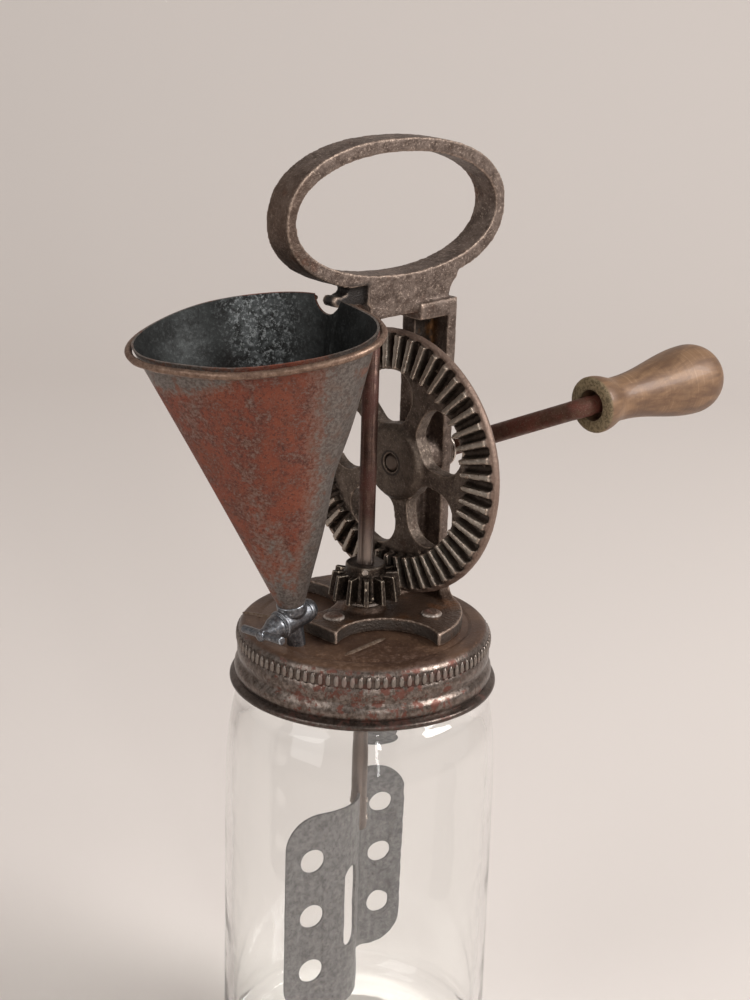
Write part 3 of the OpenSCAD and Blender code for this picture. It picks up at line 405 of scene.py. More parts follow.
def funnel_outside():
    f = Finish("funnel_outside")
    rise, side = cone_places(f)
    big = f.noise(0.022, 5, 0.62, seed=71)
    mid = f.noise(0.0055, 5, 0.68, seed=72)
    fine = f.noise(0.0011, 4, 0.72, seed=73)
    spots = f.noise(0.0005, 3, 0.7, seed=74)
    blotch = big * 0.4 + mid * 0.34 + fine * 0.26
    grey_right = (side + (mid - 0.5) * 1.3 + (big - 0.5) * 0.7).step(0.34, 0.86)
    grey_foot = 1 - rise.step(0.022, 0.05)
    grey_rim = rise.step(0.094, 0.104) * (1 - side.step(-0.5, 0.1))
    bare = (grey_right * 0.19 + grey_foot * 0.13 + grey_rim * 0.16)
    centre = 1 - (side + 0.28).math("ABSOLUTE").step(0.0, 0.36)
    centre = centre * (1 - (rise - 0.052).math("ABSOLUTE").step(0, 0.026))
    rusty = (blotch - bare - centre * 0.05 + 0.07).step(0.43, 0.56)
    steel = f.mix(fine.step(0.38, 0.62), rgb(112, 104, 98), rgb(80, 71, 66))
    steel = f.mix(mid.step(0.5, 0.64) * 0.45, steel, rgb(96, 72, 60))
    red = f.mix(mid.step(0.38, 0.62), rgb(74, 33, 20), rgb(108, 48, 27))
    red = f.mix(big.step(0.44, 0.6) * 0.45, red, rgb(116, 56, 30))
    red = f.mix(fine.step(0.52, 0.64) * 0.7, red, rgb(52, 29, 22))
    red = f.mix(fine.step(0.5, 0.36) * mid.step(0.6, 0.4) * 0.85, red, rgb(88, 76, 70))
    red = f.mix(spots.step(0.46, 0.34) * 0.4, red, rgb(116, 98, 90))
    colour = f.mix(rusty, steel, red)
    edge = rusty * (1 - rusty) * 4
    colour = f.mix(edge * 0.35, colour, rgb(122, 78, 58))
    colour = f.mix(spots.step(0.6, 0.74) * 0.3, colour, rgb(70, 46, 38))
    bumps = f.bump(spots * 0.5 + fine * 0.5 + rusty * 0.5, 0.00006)
    return f.finish(Base_Color=colour, Metallic=((1 - rusty) * 0.62).clamp(),
                    Roughness=(0.42 + rusty * 0.34 + fine * 0.1).clamp(), Normal=bumps)


def funnel_inside():
    f = Finish("funnel_inside")
    big = f.noise(0.02, 5, 0.6, seed=81)
    mid = f.noise(0.0035, 5, 0.7, seed=82)
    spangle = f.noise(0.0011, 4, 0.75, seed=83)
    rise, side = cone_places(f)
    # painted highlight: a bright zone high on the far wall
    far_wall_highlight = (1 - (side + 0.02).math("ABSOLUTE").step(0.02, 0.42)) * rise.step(0.05, 0.095)
    # dark grey tin, kept very dark as painted shade inside the cone
    colour = f.mix(big.step(0.36, 0.62), rgb(34, 34, 33), rgb(58, 59, 58))
    colour = f.mix(mid.step(0.48, 0.66) * 0.6, colour, rgb(34, 32, 31))
    # tin spangle, faint everywhere and strong inside the painted highlight
    colour = f.mix(spangle.step(0.5, 0.62) * (0.06 + far_wall_highlight * 0.75), colour, rgb(170, 172, 171))
    colour = f.mix(far_wall_highlight * mid.step(0.6, 0.4) * 0.35, colour, rgb(126, 129, 129))
    dark = 1 - ((side + 0.35).math("ABSOLUTE") * 1.4 + (rise - 0.075).math("ABSOLUTE") * 26).step(0.1, 0.7)
    colour = f.mix(dark * (0.3 + mid), colour, rgb(34, 27, 24))
    bumps = f.bump(spangle + mid * 0.6, 0.00007)
    return f.finish(Base_Color=colour, Metallic=0.85, Roughness=(0.3 + mid * 0.35).clamp(), Normal=bumps)


# %% [markdown]
# ## The grip
# The grip is varnished wood, bronze-brown, with fine turned rings. Its own frame
# comes from the joint it spins on: the joint's place is the middle of the mouth,
# and its axis runs towards the round end.

# %% The grip's wood
GRIP_AT = Vector(joints["grip_spin"]["pos_m"])
GRIP_AXIS = Vector(joints["grip_spin"]["axis"]).normalized()


def grip_wood():
    f = Finish("grip_wood")
    spot = f.node("ShaderNodeTexCoord", out="Object")
    off = f.node("ShaderNodeVectorMath", {"operation": "SUBTRACT"}, {0: spot, 1: GRIP_AT})
    along = f.node("ShaderNodeVectorMath", {"operation": "DOT_PRODUCT"}, {0: off, 1: GRIP_AXIS}, out="Value")
    wobble = f.noise(0.006, 3, 0.5, seed=91)
    rings = f.node("ShaderNodeTexNoise", {"noise_dimensions": "1D"},
                   {"W": along / 0.0011 + wobble * 0.9, "Scale": 1.0, "Detail": 3.0, "Roughness": 0.7})
    streak = f.noise(0.004, 5, 0.65, stretch=(0.25, 1, 1), warp=0.4, seed=92)
    cloud = f.noise(0.012, 4, 0.6, seed=93)
    colour = f.mix(streak.step(0.35, 0.65), rgb(98, 71, 51), rgb(128, 97, 70))
    colour = f.mix(rings.step(0.54, 0.72) * streak.step(0.45, 0.6) * 0.4, colour, rgb(156, 128, 102))
    colour = f.mix(rings.step(0.44, 0.3) * 0.15, colour, rgb(74, 53, 40))
    colour = f.mix(cloud.step(0.56, 0.72) * 0.4, colour, rgb(106, 88, 70))
    speck = f.noise(0.0009, 3, 0.7, seed=94)
    mouth = 1 - along.step(0.0004, 0.0016)
    face = f.mix(speck.step(0.42, 0.6), rgb(132, 116, 88), rgb(88, 76, 54))
    colour = f.mix(mouth * 0.9, colour, face)
    bumps = f.bump(rings + streak * 0.4 + speck * 0.3, 0.00006)
    return f.finish(Base_Color=colour, Metallic=0.25, Roughness=(0.42 + streak * 0.2 + mouth * 0.3).clamp(),
                    Normal=bumps, Coat_Weight=0.08)


# %% [markdown]
# ## Glass
# The jar is old soda glass: clear, faintly green-grey, and a little wavy. Light
# passes it without a hard shadow, so a transparent shader answers shadow rays.


# %% The jar's glass
def make_glass():
    f = Finish("glass")
    wave = f.noise(0.03, 2, 0.4, seed=11) + f.noise(0.009, 2, 0.4, seed=12) * 0.25
    f.finish(Base_Color=(0.985, 0.99, 0.985, 1), Roughness=0.01, IOR=1.46, Normal=f.bump(wave, 0.00022))
    f.shader.inputs["Transmission Weight"].default_value = 1.0
    clear = f.node("ShaderNodeBsdfTransparent", {}, {"Color": (0.95, 0.96, 0.955, 1)})
    path = f.node("ShaderNodeLightPath", out="Is Shadow Ray")
    both = f.node("ShaderNodeMixShader", {}, {0: path, 1: Wire(f, f.shader.outputs[0]), 2: clear})
    f.tree.links.new(both.socket, f.output.inputs[0])
    return f.material


# %% Mix all finishes
finishes = {
    "cast_frame": worn_metal("cast_frame", bare=rgb(112, 97, 88), stain=rgb(78, 64, 56),
        rust=rgb(92, 64, 49), rust_at=(0.56, 0.74), patch=0.03, rough=0.46, metal=0.7, grain=0.0009,
        depth=0.00035, seed=0, edge=rgb(176, 154, 138), pits=0.6, extra=casting_zones, bright=0.45),
    "gear_iron": worn_metal("gear_iron", bare=rgb(102, 89, 79), stain=rgb(70, 58, 50),
        rust=rgb(84, 60, 45), rust_at=(0.56, 0.76), patch=0.02, rough=0.44, metal=0.72, grain=0.0008,
        depth=0.00025, seed=2, edge=rgb(170, 150, 134), pits=0.5, extra=gear_zones, bright=0.35),
    "pinion_iron": worn_metal("pinion_iron", bare=rgb(66, 55, 47), stain=rgb(38, 31, 26),
        rust=rgb(60, 42, 32), rust_at=(0.56, 0.74), patch=0.01, rough=0.3, metal=0.8, grain=0.0006,
        depth=0.00008, seed=21, edge=rgb(196, 180, 162), pits=0.3),
    "lid_steel": worn_metal("lid_steel", bare=rgb(120, 109, 102), stain=rgb(82, 71, 64),
        rust=rgb(86, 62, 50), rust_at=(0.56, 0.7), patch=0.01, rough=0.3, metal=0.92, grain=0.0009,
        depth=0.00008, seed=4, pits=0.75, extra=lid_zones, bright=0.2),
    "line_steel": worn_metal("line_steel", bare=rgb(124, 106, 92), stain=rgb(96, 76, 61),
        rust=rgb(86, 60, 45), rust_at=(0.56, 0.7), patch=0.01, rough=0.42, metal=0.6, grain=0.0008,
        depth=0.00006, seed=5),
    "rim_bronze": worn_metal("rim_bronze", bare=rgb(132, 108, 92), stain=rgb(98, 76, 63),
        rust=rgb(84, 58, 44), rust_at=(0.5, 0.66), patch=0.01, rough=0.38, metal=0.75, grain=0.0005,
        depth=0.00005, seed=6),
    "rod_steel": worn_metal("rod_steel", bare=rgb(92, 66, 52), stain=rgb(72, 45, 34),
        rust=rgb(90, 42, 27), rust_at=(0.4, 0.6), patch=0.014, rough=0.38, metal=0.6, grain=0.0005,
        depth=0.00006, seed=8, pits=0.35, extra=rod_zones, bright=0.15),
    "shaft_steel": worn_metal("shaft_steel", bare=rgb(84, 60, 50), stain=rgb(58, 40, 33),
        rust=rgb(76, 38, 27), rust_at=(0.46, 0.62), patch=0.015, rough=0.34, metal=0.7, grain=0.0004,
        depth=0.00005, seed=10, pits=0.35, extra=shaft_zones, bright=0.15),
    "rivet_steel": worn_metal("rivet_steel", bare=rgb(128, 108, 96), stain=rgb(84, 62, 51),
        rust=rgb(82, 50, 38), rust_at=(0.48, 0.62), patch=0.004, rough=0.32, metal=0.85, grain=0.0004,
        depth=0.00006, seed=12, edge=rgb(196, 184, 174)),
    "blade_tin": worn_metal("blade_tin", bare=rgb(122, 119, 117), stain=rgb(94, 91, 90),
        rust=rgb(66, 60, 57), rust_at=(0.58, 0.74), patch=0.012, rough=0.4, metal=0.75, grain=0.0009,
        depth=0.00006, seed=14, pits=0.6, extra=blade_zones, bright=0.15),
    "tap_metal": worn_metal("tap_metal", bare=rgb(116, 117, 120), stain=rgb(76, 76, 79),
        rust=rgb(62, 56, 53), rust_at=(0.58, 0.76), patch=0.006, rough=0.3, metal=0.9, grain=0.0005,
        depth=0.00006, seed=16, edge=rgb(178, 181, 186)),
    "seal": worn_metal("seal", bare=rgb(96, 72, 56), stain=rgb(80, 60, 48), rust=rgb(80, 56, 44),
        rust_at=(0.6, 0.8), patch=0.01, rough=0.7, metal=0.0),
    "funnel_tin": funnel_outside(),
    "funnel_inside": funnel_inside(),
    "grip": grip_wood(),
    "glass": make_glass(),
}
print("finishes:", ", ".join(finishes))

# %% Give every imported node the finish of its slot
slot_of = {s["node"]: s["material_slot"] for s in frame["record"]["subparts"]}
for name, obj in nodes.items():
    obj.data.materials.clear()
    obj.data.materials.append(finishes[slot_of[name]])

# %% [markdown]
# ## Helpers that make pieces
# Round pieces are lathed from a profile, and cast or machined pieces start from
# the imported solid: a copy is merged, given an even skin by a voxel remesh, and
# smoothed a little, which rounds every edge as years of use do.


# %% Objects, lathes and worn castings
def new_object(name, mesh, *materials):
    for material in materials:
        mesh.materials.append(material)
    obj = bpy.data.objects.new(name, mesh)
    bpy.context.scene.collection.objects.link(obj)
    return obj


def evaluated(obj):
    """Applies the object's modifiers, so that only a plain mesh is left."""
    bpy.context.view_layer.update()
    mesh = bpy.data.meshes.new_from_object(obj.evaluated_get(bpy.context.evaluated_depsgraph_get()))
    obj.modifiers.clear()
    obj.data = mesh
    return obj


def rounded(points, rounds, closed):
    """Cuts the corners of a profile, so that it has no hard angles."""
    for _ in range(rounds):
        pairs = list(zip(points, points[1:] + points[:1])) if closed else list(zip(points, points[1:]))
        cut = []
        for (r0, z0), (r1, z1) in pairs:
            cut += [(r0 * 0.75 + r1 * 0.25, z0 * 0.75 + z1 * 0.25),
                    (r0 * 0.25 + r1 * 0.75, z0 * 0.25 + z1 * 0.75)]
        points = cut if closed else [points[0]] + cut[1:-1] + [points[-1]]
    return points


def lathe(name, profile, material, closed=False, turns=144, place=None, push=None):
    """Spins (radius, height) points in mm about Z; push(height, angle) adds to a radius."""
    bm = bmesh.new()
    rings = []
    for radius, height in profile:
        if radius < 1e-6:
            rings.append([bm.verts.new((0, 0, height * MM))])
            continue
        ring = []
        for k in range(turns):
            angle = 2 * pi * k / turns
            reach = (radius + (push(radius, height, angle) if push else 0)) * MM
            ring.append(bm.verts.new((reach * cos(angle), reach * sin(angle), height * MM)))
        rings.append(ring)
    pairs = list(zip(rings, rings[1:])) + ([(rings[-1], rings[0])] if closed else [])
    for low, high in pairs:
        for k in range(turns):
            corners = [low[k % len(low)], low[(k + 1) % len(low)],
                       high[(k + 1) % len(high)], high[k % len(high)]]
            corners = list(dict.fromkeys(corners))
            if len(corners) > 2:
                bm.faces.new(corners)
    bmesh.ops.recalc_face_normals(bm, faces=bm.faces)
    mesh = bpy.data.meshes.new(name)
    bm.to_mesh(mesh)
    bm.free()
    if place is not None:
        mesh.transform(place)
    mesh.polygons.foreach_set("use_smooth", [True] * len(mesh.polygons))
    mesh.set_sharp_from_angle(angle=radians(50))
    return new_object(name, mesh, material)


def merged_copy(node, name, material):
    bm = bmesh.new()
    bm.from_mesh(nodes[node].data)
    bmesh.ops.remove_doubles(bm, verts=bm.verts, dist=2e-6)
    mesh = bpy.data.meshes.new(name)
    bm.to_mesh(mesh)
    bm.free()
    return new_object(name, mesh, material)


def worn_casting(node, name, material, voxel, rounds, pitted=0.0):
    """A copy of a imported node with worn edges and, if asked, an uneven cast skin."""
    obj = merged_copy(node, name, material)
    remesh = obj.modifiers.new("even_skin", "REMESH")
    remesh.mode = "VOXEL"
    remesh.voxel_size = voxel * MM
    smooth = obj.modifiers.new("worn_edges", "SMOOTH")
    smooth.factor = 0.5
    smooth.iterations = rounds
    if pitted:
        texture = bpy.data.textures.new(name + "_skin", "CLOUDS")
        texture.noise_scale = 0.0022
        texture.noise_depth = 2
        skin = obj.modifiers.new("cast_skin", "DISPLACE")
        skin.texture = texture
        skin.texture_coords = "LOCAL"
        skin.strength = pitted * MM
        skin.mid_level = 0.62
    evaluated(obj)
    obj.data.polygons.foreach_set("use_smooth", [True] * len(obj.data.polygons))
    print(name, len(obj.data.polygons), "faces")
    return obj


def stand_for(obj, body, slot, *replaced):
    """The piece rides on a body and stands for its nodes; its slot is not used."""
    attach(obj, body)
    if replaced:
        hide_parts(*replaced)
    return obj


# %% [markdown]
# ## The jar
# A pressed jar has one wall that swells and narrows, so a lathe from its profile
# is enough. Its screw thread is a push of the radius that climbs with the angle.

# %% Lathe the jar
JAR = {"r": 46.2, "h": 163.2, "wall": 3.0, "neck": 39.4, "neck_wall": 2.8, "shoulder": 141.7, "base": 6.0}
THREAD_RISE = 1.4
THREAD_TURNS = 1.15
PITCH = 6.0
THREAD_LOW = JAR["shoulder"] + 5.6


def arc_points(x, y, r, start, stop, steps):
    return [(x + r * cos(radians(a)), y + r * sin(radians(a))) for a in np.linspace(start, stop, steps + 1)]


def thread_push(radius, height, angle):
    """The ridge of the glass thread, a little more than one turn long."""
    if radius < JAR["neck"] - 0.5:
        return 0.0
    push = 0.0
    for turn in (0, 1):
        wound = turn + angle / (2 * pi)
        if wound > THREAD_TURNS:
            continue
        fade = min(1.0, wound * 12, (THREAD_TURNS - wound) * 12)
        off = (height - THREAD_LOW - PITCH * wound) / 1.3
        push = max(push, THREAD_RISE * fade * max(0.0, 1 - off * off) ** 0.7 if abs(off) < 1 else 0.0)
    return push


inner = JAR["r"] - JAR["wall"]
mouth = JAR["neck"] - JAR["neck_wall"]
outline = [(0, 0), (JAR["r"] - 9, 0)] + arc_points(JAR["r"] - 9, 9, 9, -80, 0, 8)
outline += [(JAR["r"], z) for z in (30, 60, 90, 109.7)]
outline += [(JAR["r"] - 0.5, 121.7), (JAR["r"] - 1.3, 129.7), (JAR["r"] - 2.6, 136.7),
            (JAR["r"] - 3.4, 139.7), (JAR["neck"] + 1.9, 141.7), (JAR["neck"] + 1.2, 143.3)]
outline += [(JAR["neck"], z) for z in np.arange(144.3, 162.3, 0.45)]
outline += [(JAR["neck"] - 0.8, JAR["h"]), (mouth + 0.8, JAR["h"]), (mouth, JAR["h"] - 1), (mouth, 140.7),
            (inner - 5, 136.7), (inner - 1.8, 127.7), (inner, 111.7), (inner, 60)]
outline += arc_points(inner - 9, JAR["base"] + 9, 9, 0, -90, 8)
outline += [(16, JAR["base"]), (0, JAR["base"] + 1.2)]
jar = lathe("jar_glass", rounded(outline, 1, False), finishes["glass"], turns=160, push=thread_push)
stand_for(jar, "jar", "glass", "jar")
print("jar", len(jar.data.polygons), "faces")

# %% [markdown]
# ## The lid
# The lid is one pressed sheet with a rolled bead, two swells and a ribbed band.
# The sheet is lathed, the holes are cut with a Boolean, and the ribs come from
# Geometry Nodes: small beads set round a circle, turned outwards.

# %% Lathe the lid and cut its holes
LID_MM = LID_TOP / MM
BEAD_Z = LID_MM - 19.3
BAND = 42.4
SKIRT = 41.5
bead = arc_points(43.9, BEAD_Z, 1.1, 200, 440, 14)
sheet = [(0, LID_MM - 0.6), (20, LID_MM - 0.6), (SKIRT - 2.4, LID_MM - 0.6), (SKIRT - 0.4, LID_MM - 1.4),
         (SKIRT, LID_MM - 3.4)] + [(SKIRT, z) for z in np.arange(LID_MM - 4.4, BEAD_Z + 1.6, -0.6)]
sheet += bead
sheet += [(BAND + 0.4, BEAD_Z + 1.7), (BAND + 0.85, BEAD_Z + 2.7), (BAND + 1.0, BEAD_Z + 3.9),
          (BAND + 0.85, BEAD_Z + 5.1), (BAND + 0.3, BEAD_Z + 6.3), (BAND - 0.5, BEAD_Z + 7.1),
          (BAND - 0.55, BEAD_Z + 7.7), (BAND - 0.05, BEAD_Z + 8.6), (BAND + 0.1, BEAD_Z + 9.6),
          (BAND + 0.1, BEAD_Z + 10.6), (BAND - 0.2, BEAD_Z + 12), (BAND - 0.55, BEAD_Z + 12.7),
          (BAND - 0.1, BEAD_Z + 13.2), (BAND - 0.1, LID_MM - 3.1)]
sheet += arc_points(BAND - 3.5, LID_MM - 3.4, 3.4, 12, 86, 6)
sheet += [(BAND - 6, LID_MM - 0.02), (36.0, LID_MM - 0.02), (35.4, LID_MM - 0.3), (34.9, LID_MM - 0.3),
          (34.3, LID_MM), (20, LID_MM), (0, LID_MM)]


def lid_thread(radius, height, angle):
    """The lid's own thread stands inwards from the skirt, half a pitch below the glass's."""
    if abs(radius - SKIRT) > 0.05 or height > LID_MM - 3.5:
        return 0.0
    push = 0.0
    for turn in (0, 1):
        wound = turn + angle / (2 * pi)
        if wound <= 1.0:
            fade = min(1.0, wound * 10, (1.0 - wound) * 10)
            off = (height - THREAD_LOW + PITCH / 2 - PITCH * wound) / 1.2
            push = max(push, THREAD_RISE * fade * max(0.0, 1 - off * off) if abs(off) < 1 else 0.0)
    return -push


lid = lathe("lid_sheet", sheet, finishes["lid_steel"], turns=180, push=lid_thread)


def drill(name, radius, place, turn=None):
    """A round cutter that is taken away after its hole is made."""
    bm = bmesh.new()
    bmesh.ops.create_cone(bm, cap_ends=True, segments=40, radius1=radius, radius2=radius, depth=0.012)
    mesh = bpy.data.meshes.new(name)
    bm.to_mesh(mesh)
    bm.free()
    mesh.transform(Matrix.Translation(place) @ (turn or Matrix()))
    return new_object(name, mesh)


cutters = [drill("shaft_hole", 0.00335, (0, 0, LID_TOP)),
           drill("oil_hole", 0.003, CONE_FOOT, Matrix.Rotation(-LEAN, 4, "Y"))]
for cutter in cutters:
    cut = lid.modifiers.new("hole", "BOOLEAN")
    cut.operation = "DIFFERENCE"
    cut.solver = "EXACT"
    cut.object = cutter
evaluated(lid)
for cutter in cutters:
    bpy.data.objects.remove(cutter)
lid.data.set_sharp_from_angle(angle=radians(50))
stand_for(lid, "head", "lid_steel", "lid")
print("lid", len(lid.data.polygons), "faces")


# %% [markdown]
# ## The lid's ribs
# The grip band has about a hundred small ribs. An array that is rotated about an
# empty would do, but a node tree with named inputs says what is repeated, how
# often and how far out, and one tree serves any ring. The instances are realized
# and turned into a plain mesh, because an export drops instances.

# %% Geometry Nodes: one small piece set many times round a circle
def ring_tree():
    tree = bpy.data.node_groups.new("pieces_round_a_circle", "GeometryNodeTree")
    made = {}
    for name, kind in (("Geometry", "NodeSocketGeometry"), ("Count", "NodeSocketInt"),
                       ("Radius", "NodeSocketFloat"), ("Height", "NodeSocketFloat"),
                       ("Piece size", "NodeSocketVector"), ("Finish", "NodeSocketMaterial")):
        made[name] = tree.interface.new_socket(name=name, in_out="INPUT", socket_type=kind).identifier
    tree.interface.new_socket(name="Geometry", in_out="OUTPUT", socket_type="NodeSocketGeometry")
    entry = tree.nodes.new("NodeGroupInput")
    leave = tree.nodes.new("NodeGroupOutput")
    circle = tree.nodes.new("GeometryNodeMeshCircle")
    lift = tree.nodes.new("GeometryNodeTransform")
    lift_by = tree.nodes.new("ShaderNodeCombineXYZ")
    bead_mesh = tree.nodes.new("GeometryNodeMeshUVSphere")
    bead_mesh.inputs["Segments"].default_value = 8
    bead_mesh.inputs["Rings"].default_value = 6
    shape = tree.nodes.new("GeometryNodeTransform")
    spot = tree.nodes.new("GeometryNodeInputPosition")
    flat = tree.nodes.new("ShaderNodeVectorMath")
    flat.operation = "MULTIPLY"
    flat.inputs[1].default_value = (1, 1, 0)
    outward = tree.nodes.new("FunctionNodeAlignRotationToVector")
    outward.axis = "X"
    put = tree.nodes.new("GeometryNodeInstanceOnPoints")
    real = tree.nodes.new("GeometryNodeRealizeInstances")
    paint = tree.nodes.new("GeometryNodeSetMaterial")
    for source, target in (
            (entry.outputs["Count"], circle.inputs["Vertices"]),
            (entry.outputs["Radius"], circle.inputs["Radius"]),
            (circle.outputs["Mesh"], lift.inputs["Geometry"]),
            (entry.outputs["Height"], lift_by.inputs["Z"]),
            (lift_by.outputs[0], lift.inputs["Translation"]),
            (bead_mesh.outputs["Mesh"], shape.inputs["Geometry"]),
            (entry.outputs["Piece size"], shape.inputs["Scale"]), (spot.outputs[0], flat.inputs[0]),
            (flat.outputs[0], outward.inputs["Vector"]), (lift.outputs["Geometry"], put.inputs["Points"]),
            (shape.outputs["Geometry"], put.inputs["Instance"]), (outward.outputs[0], put.inputs["Rotation"]),
            (put.outputs[0], real.inputs[0]), (real.outputs[0], paint.inputs["Geometry"]),
            (entry.outputs["Finish"], paint.inputs["Material"]), (paint.outputs[0], leave.inputs[0])):
        tree.links.new(source, target)
    return tree, made


RING, RING_INPUT = ring_tree()


def round_pieces(name, count, radius, height, size, material):
    obj = new_object(name, bpy.data.meshes.new(name))
    modifier = obj.modifiers.new("ring", "NODES")
    modifier.node_group = RING
    for key, value in (("Count", count), ("Radius", radius), ("Height", height), ("Piece size", size),
                       ("Finish", material)):
        modifier[RING_INPUT[key]] = value
    evaluated(obj)
    obj.data.polygons.foreach_set("use_smooth", [True] * len(obj.data.polygons))
    return obj


# %% Set the lid's ribs
RIBS = 101
ribs = round_pieces("lid_ribs", RIBS, 0.0421, (BEAD_Z + 14.75) * MM, (0.0009, 0.00105, 0.0023),
                    finishes["lid_steel"])
stand_for(ribs, "head", "lid_steel")
print("ribs", len(ribs.data.polygons), "faces")


# %% [markdown]
# ## Two pressed lines on the lid
# Stiffening lines are pressed up from below. Each is a low bar with a round top.


# %% Press the two lines
LINE_SECTION = [(-1, -0.3), (-0.7, 0.1), (-0.35, 0.8), (0, 1), (0.35, 0.8), (0.7, 0.1), (1, -0.3)]


def pressed_line(name, start, stop, width, rise):
    run = Vector((*stop, 0)) - Vector((*start, 0))
    across = Vector((-run.y, run.x, 0)).normalized() * width / 2
    bm = bmesh.new()
    rows = []
    for u in np.linspace(0, 1, 15):
        ends = min(1.0, u * 8, (1 - u) * 8)
        centre = Vector((*start, LID_MM)) + run * u
        row = []
        for aside, lift in LINE_SECTION:
            off = Vector((0, 0, lift * rise * (ends if lift > 0 else 1)))
            row.append(bm.verts.new((centre + across * aside * (0.4 + 0.6 * ends) + off) * MM))
        rows.append(row)
    for low, high in zip(rows, rows[1:]):
        for k in range(len(low)):
            n = (k + 1) % len(low)
            bm.faces.new((low[k], low[n], high[n], high[k]))
    bm.faces.new(rows[0])
    bm.faces.new(rows[-1])
    bmesh.ops.recalc_face_normals(bm, faces=bm.faces)
    mesh = bpy.data.meshes.new(name)
    bm.to_mesh(mesh)
    bm.free()
    mesh.polygons.foreach_set("use_smooth", [True] * len(mesh.polygons))
    return stand_for(new_object(name, mesh, finishes["line_steel"]), "head", "lid_steel")


LINE_WIDTH = 2.6
LINE_RISE = 0.5
pressed_line("pressed_line_a", (-25.5, -17.4), (-5.6, -15.7), LINE_WIDTH, LINE_RISE)
pressed_line("pressed_line_b", (-26.0, 32.0), (-21.5, 22.2), LINE_WIDTH, LINE_RISE)
print("pressed lines: 2")

# %% [markdown]
# ## Castings, gears and tap
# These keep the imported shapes, because their fits and their mesh are right. The
# even skin and the smoothing only wear their edges.

# %% Wear the castings
# piece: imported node, body, finish, slot, voxel in mm, smoothing rounds, cast skin in mm
quality = 1.0
worn = {
    "frame_casting": ("frame", "head", "cast_frame", "cast_frame", 0.6, 3, 0.3),
    "crown_gear": ("drive_gear", "crank", "gear_iron", "gear_iron", 0.45, 2, 0.16),
    "pinion_gear": ("pinion", "beater", "pinion_iron", "gear_iron", 0.3, 2, 0.1),
    "crank_bar": ("crank_rod", "crank", "rod_steel", "rod_steel", 0.4, 2, 0.0),
    "tap_barrel": ("tap_body", "head", "tap_metal", "tap_metal", 0.22, 4, 0.0),
    "tap_key_plug": ("tap_plug", "tap_key", "tap_metal", "tap_metal", 0.22, 4, 0.0),
    "tap_key_bar": ("tap_tee", "tap_key", "tap_metal", "tap_metal", 0.22, 3, 0.0),
    "tap_key_cap": ("tap_cap_nut", "tap_key", "tap_metal", "tap_metal", 0.2, 3, 0.0),
}
for name, (node, body, finish, slot, voxel, rounds, pitted) in worn.items():
    piece = worn_casting(node, name, finishes[finish], voxel * quality, rounds, pitted)
    stand_for(piece, body, slot, node)


# %% [markdown]
# ## Shaft and blade
# A thin sheet would be eaten away by a voxel remesh, and the shaft's saw cut too.
# So both are merged copies with smooth sides, whose hard corners stay sharp.

# %% Shade the shaft and the blade
for name, node, finish in (("upright_shaft", "beater_shaft", "shaft_steel"),
                           ("beater_sheet", "beater_blade", "blade_tin")):
    piece = merged_copy(node, name, finishes[finish])
    piece.data.polygons.foreach_set("use_smooth", [True] * len(piece.data.polygons))
    piece.data.set_sharp_from_angle(angle=radians(35))
    stand_for(piece, "beater", finish, node)
    print(name, len(piece.data.polygons), "faces")

# %% [markdown]
# ## Rivet heads
# Three hammered rivets hold the foot. Their heads are flat domes with a chipped
# edge, each turned another way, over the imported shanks.

# %% Lathe the rivet heads
RIVETS = [(-14.0, 0.0), (12.8, -19.0), (12.8, 19.0)]
PLATE_TOP = LID_MM + 4.7
head_profile = [(0, 1.42), (1.2, 1.38), (2.2, 1.16), (2.9, 0.78), (3.3, 0.36), (3.45, 0.0),
                (3.3, -0.1), (0, -0.1)]


def hammered(radius, height, angle):
    """Three broad blows and seven small ones, on the outer part of the head."""
    if radius <= 2:
        return 0
    return -0.22 * (0.5 + 0.5 * sin(angle * 3 + height * 2)) - 0.1 * max(0, sin(angle * 7 + 1))


heads = []
for k, (x, y) in enumerate(RIVETS):
    spot = Matrix.Translation((x * MM, y * MM, PLATE_TOP * MM)) @ Matrix.Rotation(1.7 * k, 4, "Z")
    head = lathe(f"rivet_head_{k}", rounded(head_profile, 1, False), finishes["rivet_steel"], turns=40,
                 place=spot, push=hammered)
    heads.append(stand_for(head, "head", "rivet_steel"))
print("rivet heads", len(heads))

# %% [markdown]
# ## The grip's shape
# A lathe in the grip's own frame: a wide mouth, a waist, a bulb and a round end,
# with the bore and the recess for the peened washer.

# %% Lathe the grip
GRIP = {"len": 59.0, "mouth": 9.35, "waist": 7.3, "waist_at": 11.0, "bulb": 11.8, "bulb_at": 46.6,
        "mouth_bore": 5.2, "bore": 3.06, "recess": 4.8, "recess_at": 54.6, "lip_at": 57.6}
shape = [(GRIP["mouth_bore"], 0.3), (GRIP["mouth_bore"] + 0.4, 0.0), (GRIP["mouth"] - 1.0, 0.0),
         (GRIP["mouth"] - 0.3, 0.35), (GRIP["mouth"], 1.1), (GRIP["mouth"], 2.0)]
for u in np.linspace(0, 1, 14)[1:]:
    shape.append((GRIP["mouth"] - (GRIP["mouth"] - GRIP["waist"]) * (1 - cos(pi * u)) / 2,
                  2 + (GRIP["waist_at"] - 2) * u))
for u in np.linspace(0, 1, 30)[1:]:
    shape.append((GRIP["waist"] + (GRIP["bulb"] - GRIP["waist"]) * (1 - cos(pi * u)) / 2,
                  GRIP["waist_at"] + (GRIP["bulb_at"] - GRIP["waist_at"]) * u ** 0.94))
for t in np.linspace(0, 66, 16)[1:]:
    shape.append((GRIP["bulb"] * cos(radians(t)),
                  GRIP["bulb_at"] + (GRIP["len"] - GRIP["bulb_at"]) * sin(radians(t))))
shape += [(GRIP["recess"], GRIP["lip_at"]), (GRIP["recess"], GRIP["recess_at"]),
          (GRIP["bore"], GRIP["recess_at"]), (GRIP["bore"], 7.0), (GRIP["mouth_bore"], 7.0)]
grip_turn = Vector((0, 0, 1)).rotation_difference(GRIP_AXIS).to_matrix().to_4x4()
grip_place = Matrix.Translation(GRIP_AT) @ grip_turn
